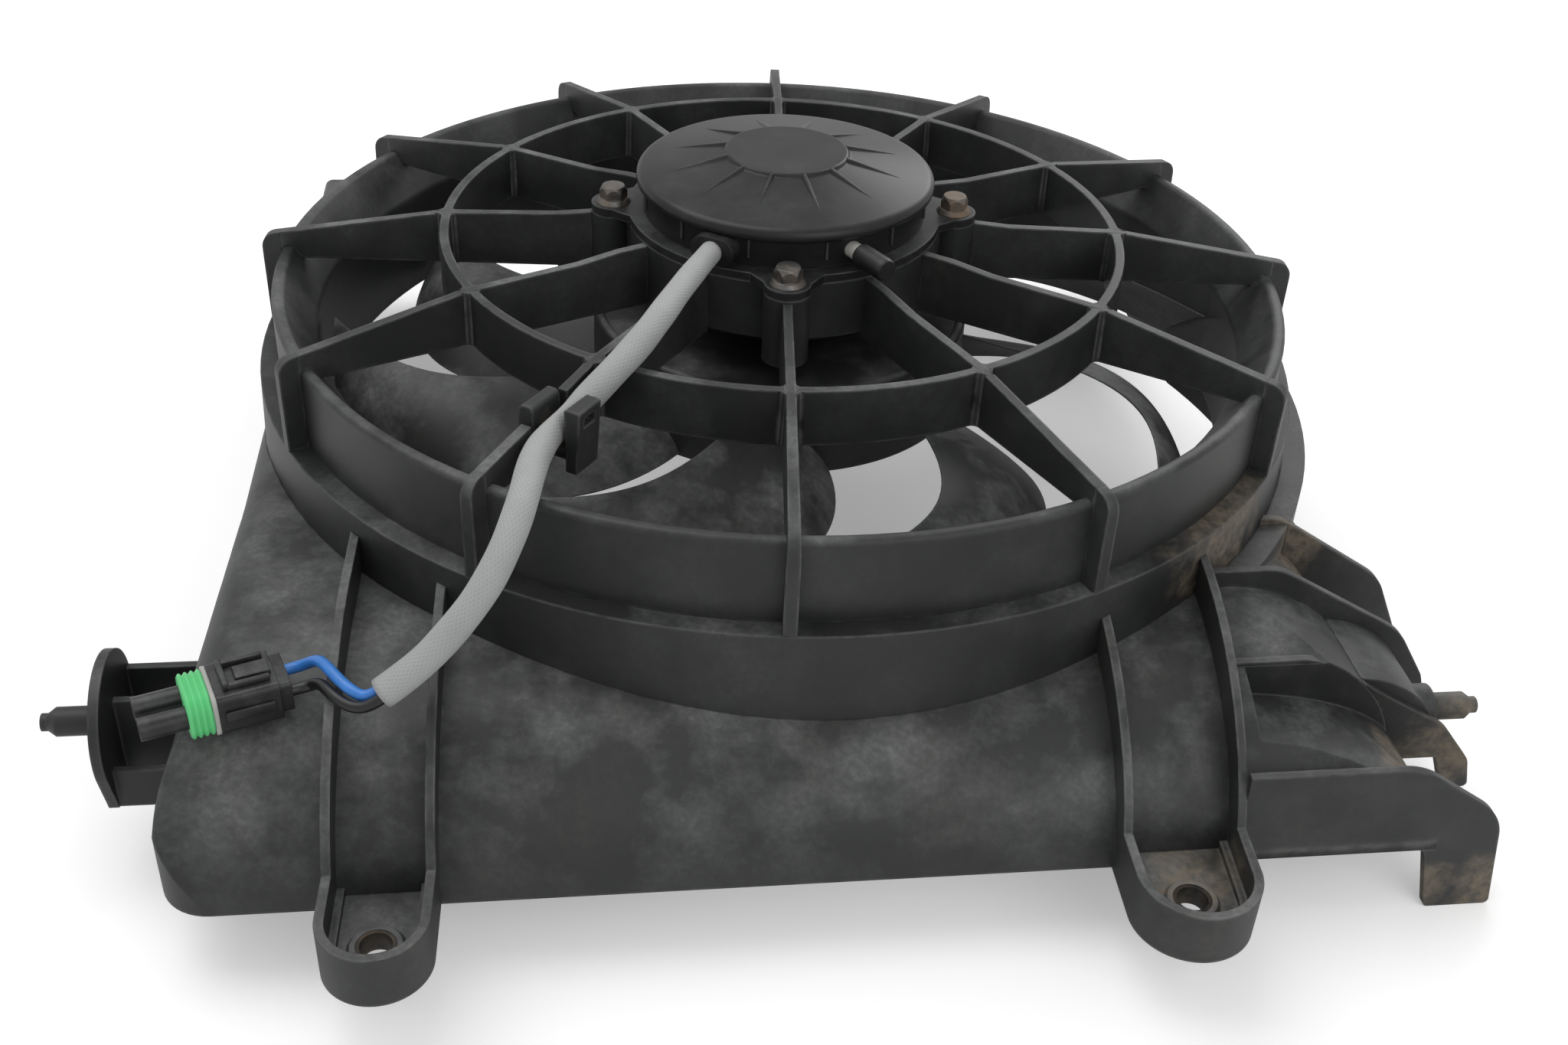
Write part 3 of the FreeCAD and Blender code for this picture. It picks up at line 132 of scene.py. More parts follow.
# Which moulded finish each plastic node gets: (dust, dirt, edge wear, which also paints a highlight on the edges)
SHROUD_FINISH = {
    "shroud_plenum": (0.85, 0.04, 0.35), "shroud_barrel": (0.55, 0.03, 0.40), "bell_mouth": (0.60, 0.04, 0.45),
    "guard_arms": (0.80, 0.04, 0.50), "guard_posts": (0.60, 0.05, 0.50), "guard_ring": (0.80, 0.03, 0.50),
    "motor_ring": (0.50, 0.04, 0.40), "left_tab": (0.75, 0.05, 0.45), "right_tab": (0.85, 0.08, 0.65),
    "side_fins": (0.70, 0.06, 0.45), "right_pin_block": (0.70, 0.06, 0.40), "left_flange": (0.55, 0.04, 0.35),
    "cable_clip": (0.55, 0.10, 0.50)}
# Where tan dirt has gathered on them, in millimetres: (place, reach)
SOILED = {
    "shroud_plenum": [((207, -228, 12), 24), ((196, -140, 36), 28)],
    "shroud_barrel": [((150, -158, 79), 42)],
    "side_fins": [((236, -250, -20), 22), ((214, -252, -18), 14), ((232, -203, 4), 26), ((190, -128, 46), 20)],
    "right_tab": [((116, -268, 6), 22), ((112, -150, 44), 16)],
    "right_pin_block": [((240, -193, 14), 13)],
    "cable_clip": [((-95, -145, 118), 9)]}

# Guard, in millimetres
RIB_COUNT = 12
RIB_PHASE = math.radians(-95.4)
GUARD_RADIUS = 140.2
# Fillets between ribs and ring, at foot and top: (height, half a rib's wall, half the ring's wall)
FILLET_ROWS = ((106.0, 2.4, 2.1), (127.95, 1.7, 1.7))
FILLET = 3.0
FILLET_STEPS = 6

# Motor cover, in millimetres: its dome is a cone from its disc down to its shoulder
DOME_EDGE_R = 26.2
DOME_EDGE_Z = 158.5
DOME_SLOPE = 0.198
BETWEEN_RIBS = RIB_PHASE + math.pi / RIB_COUNT
TICK_SIZE = (1.4, 0.9, 7.5)
TICK_LIFT = 7.0
# Creases pressed in the dome, from the disc outwards: (radius, half width, rise)
CREASE_ROWS = ((25.2, 1.7, 1.15), (30.0, 1.4, 0.95), (38.0, 0.9, 0.55), (48.0, 0.15, 0.0))
CREASE_MIDDLE_R = 36.0
CREASE_SINK = 0.4
CREASE_RIDGE = 0.35                                # share of its width that a crease has along its top


class FanSizes(bpy.types.PropertyGroup):
    """Sizes of the pieces that are made here."""
    sleeve_radius: bpy.props.FloatProperty(
        name="Sleeve radius", description="Outside radius of the woven sleeve", default=5.3 * MM,
        unit="LENGTH", precision=4)
    pinch: bpy.props.FloatProperty(
        name="Pinch", description="How thin the sleeve is in its clip, as a share of its radius", default=0.62,
        min=0.3, max=1.0, subtype="FACTOR")
    wire_radius: bpy.props.FloatProperty(
        name="Wire radius", description="Outside radius of each wire", default=2.0 * MM, unit="LENGTH", precision=4)
    tick_count: bpy.props.IntProperty(
        name="Neck ticks", description="Number of small ribs round the motor's neck", default=12, min=3)
    crease_count: bpy.props.IntProperty(
        name="Creases", description="Number of pressed creases that fan out from the cover's disc", default=12, min=3)
    tick_radius: bpy.props.FloatProperty(
        name="Tick circle", description="Radius on which the neck ticks stand", default=58.5 * MM, unit="LENGTH",
        precision=4)
    seal_ribs: bpy.props.IntProperty(
        name="Seal ribs", description="Number of lips on the connector's seal", default=4, min=1)
    seal_lip: bpy.props.FloatProperty(
        name="Seal lip", description="How far a lip stands off the seal", default=0.9 * MM, unit="LENGTH",
        precision=4)


class FanColours(bpy.types.PropertyGroup):
    """Colours of the finishes, in linear values."""
    plastic: bpy.props.FloatVectorProperty(
        name="Moulded plastic", description="Clean shroud plastic", default=(0.0165, 0.0172, 0.0180), subtype="COLOR")
    blade: bpy.props.FloatVectorProperty(
        name="Blade plastic", description="Clean blade plastic", default=(0.0200, 0.0205, 0.0210), subtype="COLOR")
    dust: bpy.props.FloatVectorProperty(
        name="Dust", description="Grey dust with a little green", default=(0.215, 0.220, 0.218), subtype="COLOR")
    dirt: bpy.props.FloatVectorProperty(
        name="Dirt", description="Tan dried dirt", default=(0.25, 0.205, 0.145), subtype="COLOR")
    # Edge colour: partly rubbed wear, partly a painted highlight along every edge
    wear_and_highlight: bpy.props.FloatVectorProperty(
        name="Worn edge and painted highlight", description="Plastic's rubbed edges, lightened further as a painted highlight", default=(0.20, 0.203, 0.20), subtype="COLOR")
    cover: bpy.props.FloatVectorProperty(
        name="Motor cover", description="Satin black paint", default=(0.011, 0.0112, 0.012), subtype="COLOR")
    zinc: bpy.props.FloatVectorProperty(
        name="Zinc", description="Weathered zinc plating", default=(0.19, 0.187, 0.18), subtype="COLOR")
    rust: bpy.props.FloatVectorProperty(
        name="Rust", description="Brown rust on the bolts", default=(0.20, 0.125, 0.065), subtype="COLOR")
    sleeve: bpy.props.FloatVectorProperty(
        name="Sleeve", description="Pale grey woven sleeve", default=(0.37, 0.375, 0.375), subtype="COLOR")
    blue: bpy.props.FloatVectorProperty(
        name="Blue wire", description="Blue insulation", default=(0.045, 0.22, 0.66), subtype="COLOR")
    seal: bpy.props.FloatVectorProperty(
        name="Seal", description="Green silicone", default=(0.12, 0.60, 0.22), subtype="COLOR")


class FanStage(bpy.types.PropertyGroup):
    """Floor, lamps and camera."""
    floor: bpy.props.FloatVectorProperty(
        name="Floor", description="Pale floor and backdrop", default=(0.86, 0.86, 0.86), subtype="COLOR")
    key_power: bpy.props.FloatProperty(
        name="Key lamp", description="Power of the large soft lamp overhead", default=11.0, min=0.0, unit="POWER")
    fill_power: bpy.props.FloatProperty(
        name="Fill lamp", description="Power of the soft lamp in front", default=4.0, min=0.0, unit="POWER")
    back_power: bpy.props.FloatProperty(
        name="Back lamp", description="Power of the lamp behind, which draws out edges", default=4.0, min=0.0,
        unit="POWER")
    sky: bpy.props.FloatProperty(
        name="Sky", description="Strength of the even light from all round", default=0.62, min=0.0)
    lens: bpy.props.FloatProperty(
        name="Lens", description="Focal length on a 36 mm sensor", default=39.96, min=10.0, subtype="NONE")


# Shader helpers
def socket(tree, name, kind, way, default=None):
    """Adds a socket to a node group's interface."""
    made = tree.interface.new_socket(name=name, in_out=way, socket_type="NodeSocket" + kind)
    if default is not None:
        made.default_value = default
    return made


def new_group(name, inputs, outputs):
    """Empty shader group with its input and output nodes."""
    tree = bpy.data.node_groups.new(name, "ShaderNodeTree")
    for label, kind, default in inputs:
        socket(tree, label, kind, "INPUT", default)
    for label, kind in outputs:
        socket(tree, label, kind, "OUTPUT")
    return tree, tree.nodes.new("NodeGroupInput"), tree.nodes.new("NodeGroupOutput")


def maths(tree, operation, first, second=None, clamp=False):
    """Output of a math node that is fed with sockets or plain numbers."""
    node = tree.nodes.new("ShaderNodeMath")
    node.operation = operation
    node.use_clamp = clamp
    for slot, value in enumerate((first, second)):
        if value is None:
            continue
        if isinstance(value, (int, float)):
            node.inputs[slot].default_value = value
        else:
            tree.links.new(value, node.inputs[slot])
    return node.outputs[0]


def mixed(tree, mask, first, second):
    """Colour mix of two sockets or plain colours by a mask socket."""
    node = tree.nodes.new("ShaderNodeMix")
    node.data_type = "RGBA"
    tree.links.new(mask, node.inputs["Factor"])
    for slot, value in ((6, first), (7, second)):
        if isinstance(value, bpy.types.NodeSocket):
            tree.links.new(value, node.inputs[slot])
        else:
            node.inputs[slot].default_value = (*value, 1.0)
    return node.outputs[2]


def object_place(tree):
    """Coordinates in the object's own frame."""
    return tree.nodes.new("ShaderNodeTexCoord").outputs["Object"]


def patches(tree, coordinates, scale, detail, low, high):
    """Noise on object coordinates, spread between two limits."""
    noise = tree.nodes.new("ShaderNodeTexNoise")
    noise.inputs["Detail"].default_value = detail
    noise.inputs["Roughness"].default_value = 0.62
    if isinstance(scale, (int, float)):
        noise.inputs["Scale"].default_value = scale
    else:
        tree.links.new(scale, noise.inputs["Scale"])
    tree.links.new(coordinates, noise.inputs["Vector"])
    spread = tree.nodes.new("ShaderNodeMapRange")
    spread.inputs["From Min"].default_value = low
    spread.inputs["From Max"].default_value = high
    tree.links.new(noise.outputs["Fac"], spread.inputs["Value"])
    return spread.outputs["Result"]


def dust_group():
    """Mask of settled dust: cloudy, heavier on faces that look up."""
    tree, given, out = new_group(
        "Settled dust", [("Amount", "Float", 0.5), ("Scale", "Float", 18.0), ("On top", "Float", 0.6)],
        [("Mask", "Float")])
    place = object_place(tree)
    cloud = patches(tree, place, given.outputs["Scale"], 9.0, 0.44, 0.66)
    speck = patches(tree, place, 420.0, 3.0, 0.40, 0.72)
    facing = tree.nodes.new("ShaderNodeSeparateXYZ")
    tree.links.new(tree.nodes.new("ShaderNodeNewGeometry").outputs["Normal"], facing.inputs[0])
    up = maths(tree, "MAXIMUM", facing.outputs["Z"], 0.0)
    top = maths(tree, "MULTIPLY", maths(tree, "POWER", up, 1.6), given.outputs["On top"])
    base = maths(tree, "ADD", top, maths(tree, "SUBTRACT", 1.0, given.outputs["On top"]))
    cover = maths(tree, "MULTIPLY", base, maths(tree, "ADD", maths(tree, "MULTIPLY", cloud, 0.93), 0.07))
    grit = maths(tree, "ADD", maths(tree, "MULTIPLY", speck, 0.45), 0.62)
    mask = maths(tree, "MULTIPLY", maths(tree, "MULTIPLY", cover, grit), given.outputs["Amount"], clamp=True)
    tree.links.new(mask, out.inputs["Mask"])
    return tree


def dirt_group():
    """Mask of dried dirt in streaks and blots."""
    tree, given, out = new_group("Dried dirt", [("Amount", "Float", 0.3), ("Scale", "Float", 30.0)],
                                 [("Mask", "Float")])
    place = object_place(tree)
    stretch = tree.nodes.new("ShaderNodeMapping")
    stretch.inputs["Scale"].default_value = (1.0, 1.0, 0.35)
    tree.links.new(place, stretch.inputs["Vector"])
    blots = patches(tree, stretch.outputs["Vector"], given.outputs["Scale"], 9.0, 0.46, 0.66)
    fine = patches(tree, place, 260.0, 4.0, 0.42, 0.62)
    both = maths(tree, "MULTIPLY", blots, maths(tree, "ADD", maths(tree, "MULTIPLY", fine, 0.7), 0.3))
    tree.links.new(maths(tree, "MULTIPLY", both, given.outputs["Amount"], clamp=True), out.inputs["Mask"])
    return tree


def place_group():
    """Mask that is full at one place and fades outwards with a broken edge."""
    tree, given, out = new_group("Soiled place", [("Centre", "Vector", (0.0, 0.0, 0.0)), ("Reach", "Float", 0.03)],
                                 [("Mask", "Float")])
    place = object_place(tree)
    gap = tree.nodes.new("ShaderNodeVectorMath")
    gap.operation = "DISTANCE"
    tree.links.new(place, gap.inputs[0])
    tree.links.new(given.outputs["Centre"], gap.inputs[1])
    near = maths(tree, "SUBTRACT", 1.0, maths(tree, "DIVIDE", gap.outputs["Value"], given.outputs["Reach"]))
    broken = maths(tree, "SUBTRACT", patches(tree, place, 75.0, 8.0, 0.30, 0.70), 0.5)
    mask = maths(tree, "ADD", maths(tree, "MULTIPLY", near, 1.6), maths(tree, "MULTIPLY", broken, 1.5), clamp=True)
    fine = maths(tree, "ADD", maths(tree, "MULTIPLY", patches(tree, place, 240.0, 6.0, 0.36, 0.64), 0.7), 0.3)
    inside = maths(tree, "MULTIPLY", maths(tree, "MULTIPLY", near, 4.0, clamp=True), fine)
    tree.links.new(maths(tree, "MULTIPLY", mask, inside), out.inputs["Mask"])
    return tree


def edge_wear_highlight_group():
    """Mask of rubbed edges that also serves as a painted edge highlight, where a rounded normal leaves the true one.
    """
    tree, given, out = new_group("Rubbed edges", [("Width", "Float", 0.0016), ("Amount", "Float", 0.6)],
                                 [("Mask", "Float")])
    soft = tree.nodes.new("ShaderNodeBevel")
    soft.samples = 4
    tree.links.new(given.outputs["Width"], soft.inputs["Radius"])
    together = tree.nodes.new("ShaderNodeVectorMath")
    together.operation = "DOT_PRODUCT"
    tree.links.new(soft.outputs["Normal"], together.inputs[0])
    tree.links.new(tree.nodes.new("ShaderNodeNewGeometry").outputs["Normal"], together.inputs[1])
    away = maths(tree, "MULTIPLY", maths(tree, "SUBTRACT", 1.0, together.outputs["Value"]), 6.0, clamp=True)
    place = object_place(tree)
    broken = patches(tree, place, 90.0, 5.0, 0.34, 0.60)
    tree.links.new(maths(tree, "MULTIPLY", maths(tree, "MULTIPLY", away, broken), given.outputs["Amount"],
                         clamp=True), out.inputs["Mask"])
    return tree


def grain_group():
    """Height of a moulded grain with a few wider waves."""
    tree, given, out = new_group("Moulded grain", [("Scale", "Float", 900.0)], [("Height", "Float")])
    place = object_place(tree)
    fine = patches(tree, place, given.outputs["Scale"], 3.0, 0.2, 0.8)
    wide = patches(tree, place, 35.0, 4.0, 0.2, 0.8)
    tree.links.new(maths(tree, "ADD", maths(tree, "MULTIPLY", wide, 0.8), maths(tree, "MULTIPLY", fine, 0.25)),
                   out.inputs["Height"])
    return tree


def braid_group():
    """Height of a fine braid on a cord's own UV map, in turns round it and metres along it."""
    tree, given, out = new_group("Braid", [("Strands", "Float", 22.0), ("Pitch", "Float", 0.0024)],
                                 [("Height", "Float")])
    apart = tree.nodes.new("ShaderNodeSeparateXYZ")
    tree.links.new(tree.nodes.new("ShaderNodeTexCoord").outputs["UV"], apart.inputs[0])
    round_it = maths(tree, "MULTIPLY", apart.outputs["X"], given.outputs["Strands"])
    along = maths(tree, "DIVIDE", apart.outputs["Y"], given.outputs["Pitch"])
    waves = []
    for way in ("ADD", "SUBTRACT"):
        phase = maths(tree, "MULTIPLY", maths(tree, way, round_it, along), 2 * math.pi)
        waves.append(maths(tree, "SINE", phase))
    tree.links.new(maths(tree, "MAXIMUM", waves[0], waves[1]), out.inputs["Height"])
    return tree


GROUPS = {}


def group(name):
    """Shared shader group, built the first time it is asked for."""
    makers = {"dust": dust_group, "dirt": dirt_group, "edge": edge_wear_highlight_group, "grain": grain_group,
              "braid": braid_group, "place": place_group}
    if name not in GROUPS:
        GROUPS[name] = makers[name]()
    return GROUPS[name]


def use(material, name, **values):
    """Places a shared group in a material with its own values."""
    node = material.node_tree.nodes.new("ShaderNodeGroup")
    node.node_tree = group(name)
    for label, value in values.items():
        node.inputs[label.replace("_", " ")].default_value = value
    return node


def new_material(name, roughness, metallic=0.0, specular=0.5):
    """Plain material and its shader node."""
    material = bpy.data.materials.new(name)
    material.use_nodes = True
    shader = material.node_tree.nodes["Principled BSDF"]
    shader.inputs["Roughness"].default_value = roughness
    shader.inputs["Metallic"].default_value = metallic
    shader.inputs["Specular IOR Level"].default_value = specular
    return material, shader


def bumped(material, shader, height, distance, strength, edge=0.0):
    """Bump from a height socket, on softened edges where a width is given."""
    tree = material.node_tree
    bump = tree.nodes.new("ShaderNodeBump")
    bump.inputs["Distance"].default_value = distance
    bump.inputs["Strength"].default_value = strength
    tree.links.new(height, bump.inputs["Height"])
    if edge:
        soft = tree.nodes.new("ShaderNodeBevel")
        soft.samples = 6
        soft.inputs["Radius"].default_value = edge
        tree.links.new(soft.outputs["Normal"], bump.inputs["Normal"])
    tree.links.new(bump.outputs["Normal"], shader.inputs["Normal"])


def with_places(material, mask, places, share):
    """Adds masks round given places, in millimetres, to a mask."""
    tree = material.node_tree
    for centre, reach in places:
        spot = use(material, "place", Centre=tuple(value * MM for value in centre), Reach=reach * MM).outputs["Mask"]
        mask = maths(tree, "MAXIMUM", mask, maths(tree, "MULTIPLY", spot, share))
    return mask


def moulded_plastic(name, clean, dust, dirt, wear_and_highlight, roughness=0.46, dust_scale=20.0, on_top=0.82, edge=0.0011,
                    places=()):
    """Dusty glass-filled plastic with rubbed edges that also carry a painted edge highlight, and dirt at given
    places.
    """
    colours = bpy.context.scene.fan_colours
    material, shader = new_material(name, roughness, specular=0.42)
    tree = material.node_tree
    dust_mask = use(material, "dust", Amount=dust, Scale=dust_scale, On_top=on_top).outputs["Mask"]
    dirt_mask = with_places(material, use(material, "dirt", Amount=dirt).outputs["Mask"], places, 0.62)
    edge_wear_highlight_mask = use(material, "edge", Amount=wear_and_highlight).outputs["Mask"]
    colour = mixed(tree, dust_mask, tuple(clean), tuple(colours.dust))
    # Lighter edges: partly rubbed wear, partly a painted highlight
    colour = mixed(tree, edge_wear_highlight_mask, colour, tuple(colours.wear_and_highlight))
    colour = mixed(tree, dirt_mask, colour, tuple(colours.dirt))
    tree.links.new(colour, shader.inputs["Base Color"])
    dull = maths(tree, "MULTIPLY", maths(tree, "MAXIMUM", dust_mask, dirt_mask), 0.38)
    tree.links.new(maths(tree, "ADD", dull, roughness, clamp=True), shader.inputs["Roughness"])
    bumped(material, shader, use(material, "grain").outputs["Height"], distance=0.00010, strength=0.8, edge=edge)
    return material


def painted_metal(name, clean, roughness, dust=0.2, wear_and_highlight=0.25):
    """Satin paint with a little dust, and rubbed edges that also carry a painted edge highlight."""
    colours = bpy.context.scene.fan_colours
    material, shader = new_material(name, roughness, specular=0.32)
    tree = material.node_tree
    dust_mask = use(material, "dust", Amount=dust, Scale=40.0, On_top=0.7).outputs["Mask"]
    edge_wear_highlight_mask = use(material, "edge", Amount=wear_and_highlight, Width=0.0010).outputs["Mask"]
    colour = mixed(tree, dust_mask, tuple(clean), tuple(colours.dust))
    # Lighter edges: partly rubbed wear, partly a painted highlight
    colour = mixed(tree, edge_wear_highlight_mask, colour, tuple(colours.wear_and_highlight))
    tree.links.new(colour, shader.inputs["Base Color"])
    worn = maths(tree, "ADD", maths(tree, "MULTIPLY", dust_mask, 0.45), roughness, clamp=True)
    tree.links.new(worn, shader.inputs["Roughness"])
    bumped(material, shader, use(material, "grain", Scale=1500.0).outputs["Height"], distance=0.00004,
           strength=0.6, edge=0.0008)
    return material


def plated_steel(name, clean, roughness, rust=0.0, places=()):
    """Zinc or turned steel, with rust blots where an amount is given."""
    colours = bpy.context.scene.fan_colours
    material, shader = new_material(name, roughness, metallic=1.0)
    tree = material.node_tree
    place = object_place(tree)
    blot = maths(tree, "MULTIPLY", patches(tree, place, 170.0, 6.0, 0.40, 0.62), rust, clamp=True)
    blot = with_places(material, blot, places, 0.9)
    tone = patches(tree, place, 320.0, 4.0, 0.3, 0.7)
    dark = tuple(value * 0.62 for value in clean)
    colour = mixed(tree, blot, mixed(tree, tone, dark, tuple(clean)), tuple(colours.rust))
    tree.links.new(colour, shader.inputs["Base Color"])
    tree.links.new(maths(tree, "SUBTRACT", 1.0, blot, clamp=True), shader.inputs["Metallic"])
    tree.links.new(maths(tree, "ADD", maths(tree, "MULTIPLY", blot, 0.4), roughness, clamp=True),
                   shader.inputs["Roughness"])
    bumped(material, shader, tone, distance=0.00005, strength=0.6, edge=0.0005)
    return material


def rubber(name, clean, roughness=0.55, dust=0.15):
    """Rubber or dull plastic under a little dust."""
    colours = bpy.context.scene.fan_colours
    material, shader = new_material(name, roughness, specular=0.4)
    tree = material.node_tree
    mask = use(material, "dust", Amount=dust, Scale=70.0, On_top=0.5).outputs["Mask"]
    tree.links.new(mixed(tree, mask, tuple(clean), tuple(colours.dust)), shader.inputs["Base Color"])
    bumped(material, shader, use(material, "grain", Scale=1200.0).outputs["Height"], distance=0.00006,
           strength=0.7, edge=0.0006)
    return material


def insulation(name, clean, roughness=0.34):
    """Glossy wire insulation with a faint change of tone."""
    material, shader = new_material(name, roughness)
    tree = material.node_tree
    place = object_place(tree)
    tone = patches(tree, place, 210.0, 3.0, 0.3, 0.7)
    tree.links.new(mixed(tree, tone, tuple(value * 0.8 for value in clean), tuple(clean)),
                   shader.inputs["Base Color"])
    bumped(material, shader, tone, distance=0.00004, strength=0.4)
    return material


def woven_sleeve(name, clean):
    """Pale braided sleeve, a little soiled, with its weave on the sleeve's own UV map and painted shade in the
    weave's hollows.
    """
    material, shader = new_material(name, 0.62, specular=0.35)
    shader.inputs["Sheen Weight"].default_value = 0.15
    tree = material.node_tree
    place = object_place(tree)
    soil = maths(tree, "MULTIPLY", patches(tree, place, 55.0, 6.0, 0.42, 0.75), 0.45)
    braid = use(material, "braid").outputs["Height"]
    # Painted shade: the braid's hollows are darkened in colour
    valley_shade = maths(tree, "MULTIPLY", maths(tree, "SUBTRACT", 0.5, maths(tree, "MULTIPLY", braid, 0.5)), 0.30,
                   clamp=True)
    colour = mixed(tree, soil, tuple(clean), tuple(value * 0.74 for value in clean))
    colour = mixed(tree, valley_shade, colour, tuple(value * 0.55 for value in clean))
    tree.links.new(colour, shader.inputs["Base Color"])
    bumped(material, shader, braid, distance=0.00009, strength=0.6)
    return material


def finish_node(node, material):
    """Gives a CAD node its finish through its own material slots."""
    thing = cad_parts[node]
    for slot in thing.material_slots:
        slot.material = material


# Mesh helpers
def add_object(name, mesh, material, smooth=True):
    """Puts a mesh in the scene as a piece of the shroud."""
    thing = bpy.data.objects.new(name, mesh)
    bpy.context.scene.collection.objects.link(thing)
    if not mesh.materials:
        mesh.materials.append(material)
    for face in mesh.polygons:
        face.use_smooth = smooth
    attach(thing, "shroud")
    return thing


def skin(build, rings):
    """Faces between each ring of vertices and the next, and over both ends."""
    count = len(rings[0])
    for first, second in zip(rings, rings[1:]):
        for k in range(count):
            after = (k + 1) % count
            build.faces.new((first[k], first[after], second[after], second[k]))
    build.faces.new(rings[0][::-1])
    build.faces.new(rings[-1])


def write_closed(build, mesh):
    """Turns a bmesh's faces outwards and writes it into a mesh."""
    bmesh.ops.recalc_face_normals(build, faces=build.faces)
    build.to_mesh(mesh)
    build.free()


def lead_curve(name, route):
    """NURBS curve with the route, in millimetres, as its control points."""
    curve = bpy.data.curves.new(name, "CURVE")
    curve.dimensions = "3D"
    curve.resolution_u = 12
    spline = curve.splines.new("NURBS")
    spline.points.add(len(route) - 1)
    for point, place in zip(spline.points, route):
        point.co = (*(Vector(place) * MM), 1.0)
    spline.order_u = 3
    spline.use_endpoint_u = True
    return curve


def smoothed_route(name, route):
    """Points along a route's curve."""
    curve = lead_curve(name, route)
    thing = bpy.data.objects.new(name, curve)
    bpy.context.scene.collection.objects.link(thing)
    bpy.context.view_layer.update()
    line = bpy.data.meshes.new_from_object(thing)
    points = [vertex.co.copy() for vertex in line.vertices]
    bpy.data.objects.remove(thing)
    bpy.data.meshes.remove(line)
    return points


def swept_tube(name, points, offset_at, sides, material):
    """Tube along points, with its own UV map: turns round it and metres along it."""
    mesh = bpy.data.meshes.new(name)
    build = bmesh.new()
    uv = build.loops.layers.uv.new("UVMap")
    heading = (points[1] - points[0]).normalized()
    side = heading.orthogonal().normalized()
    rings = []
    travel = [0.0]
    for i, point in enumerate(points):
        ahead = points[min(i + 1, len(points) - 1)] - points[max(i - 1, 0)]
        ahead.normalize()
        side = (side - ahead * side.dot(ahead)).normalized()
        across = ahead.cross(side)
        if i:
            travel.append(travel[-1] + (point - points[i - 1]).length)
        rings.append([build.verts.new(point + offset_at(i, side * math.cos(turn) + across * math.sin(turn)))
                      for turn in (2 * math.pi * k / sides for k in range(sides))])
    for i in range(len(rings) - 1):
        for k in range(sides):
            after = (k + 1) % sides
            face = build.faces.new((rings[i][k], rings[i][after], rings[i + 1][after], rings[i + 1][k]))
            for loop, (turn, way) in zip(face.loops, ((k, i), (k + 1, i), (k + 1, i + 1), (k, i + 1))):
                loop[uv].uv = (turn / sides, travel[way])
    build.faces.new(rings[0][::-1])
    build.faces.new(rings[-1])
    write_closed(build, mesh)
    return add_object(name, mesh, material)


def rounded_outline(half_width, half_height, radius):
    """Points of a rounded rectangle in the YZ plane."""
    spots = []
    for y_sign, z_sign, start in ((1, 1, 0.0), (-1, 1, 0.5), (-1, -1, 1.0), (1, -1, 1.5)):
        for k in range(CORNER_STEPS + 1):
            turn = math.pi * (start + 0.5 * k / CORNER_STEPS)
            spots.append((y_sign * (half_width - radius) + radius * math.cos(turn),
                          z_sign * (half_height - radius) + radius * math.sin(turn)))
    return spots


def lofted(name, rows, material, move):
    """Closed loft along X from rows of (x, half width, half height, corner radius), then moved into place."""
    mesh = bpy.data.meshes.new(name)
    build = bmesh.new()
    rings = [[build.verts.new((x, y, z)) for y, z in rounded_outline(half_width, half_height, radius)]
             for x, half_width, half_height, radius in rows]
    skin(build, rings)
    write_closed(build, mesh)
    mesh.transform(move)
    return add_object(name, mesh, material)


def bevelled_box(name, low, high, bevel, material, move):
    """Block between two corners with its edges rounded, then moved into place."""
    mesh = bpy.data.meshes.new(name)
    build = bmesh.new()
    bmesh.ops.create_cube(build, size=1.0)
    middle = (Vector(low) + Vector(high)) / 2
    size = Vector(high) - Vector(low)
    for vertex in build.verts:
        vertex.co = Vector([middle[i] + vertex.co[i] * size[i] for i in range(3)])
    bmesh.ops.bevel(build, geom=build.edges[:], offset=bevel, segments=3, affect="EDGES", profile=0.5)
    build.to_mesh(mesh)
    build.free()
    mesh.transform(move)
    return add_object(name, mesh, material)


def ring_tree(name):
    """Geometry Nodes: copies of the base mesh round the Z axis, realized with one material."""
    tree = bpy.data.node_groups.new(name, "GeometryNodeTree")
    for label, kind, way in (("Geometry", "Geometry", "INPUT"), ("Count", "Int", "INPUT"),
                             ("Radius", "Float", "INPUT"), ("Height", "Float", "INPUT"),
                             ("Material", "Material", "INPUT"), ("Geometry", "Geometry", "OUTPUT")):
        socket(tree, label, kind, way)
    given = tree.nodes.new("NodeGroupInput")
    out = tree.nodes.new("NodeGroupOutput")
    circle = tree.nodes.new("GeometryNodeMeshCircle")
    tree.links.new(given.outputs["Count"], circle.inputs["Vertices"])
    tree.links.new(given.outputs["Radius"], circle.inputs["Radius"])
    place = tree.nodes.new("GeometryNodeInstanceOnPoints")
    tree.links.new(circle.outputs["Mesh"], place.inputs["Points"])
    tree.links.new(given.outputs["Geometry"], place.inputs["Instance"])
    turn = tree.nodes.new("ShaderNodeCombineXYZ")
    index = tree.nodes.new("GeometryNodeInputIndex")
    share = maths(tree, "DIVIDE", index.outputs[0], given.outputs["Count"])
    tree.links.new(maths(tree, "MULTIPLY", share, 2 * math.pi), turn.inputs["Z"])
    tree.links.new(turn.outputs[0], place.inputs["Rotation"])
    lift = tree.nodes.new("ShaderNodeCombineXYZ")
    tree.links.new(given.outputs["Height"], lift.inputs["Z"])
    move = tree.nodes.new("GeometryNodeTransform")
    tree.links.new(place.outputs[0], move.inputs["Geometry"])
    tree.links.new(lift.outputs[0], move.inputs["Translation"])
    solid = tree.nodes.new("GeometryNodeRealizeInstances")
    tree.links.new(move.outputs[0], solid.inputs[0])
    coat = tree.nodes.new("GeometryNodeSetMaterial")
    tree.links.new(solid.outputs[0], coat.inputs["Geometry"])
    tree.links.new(given.outputs["Material"], coat.inputs["Material"])
    tree.links.new(coat.outputs[0], out.inputs[0])
    return tree


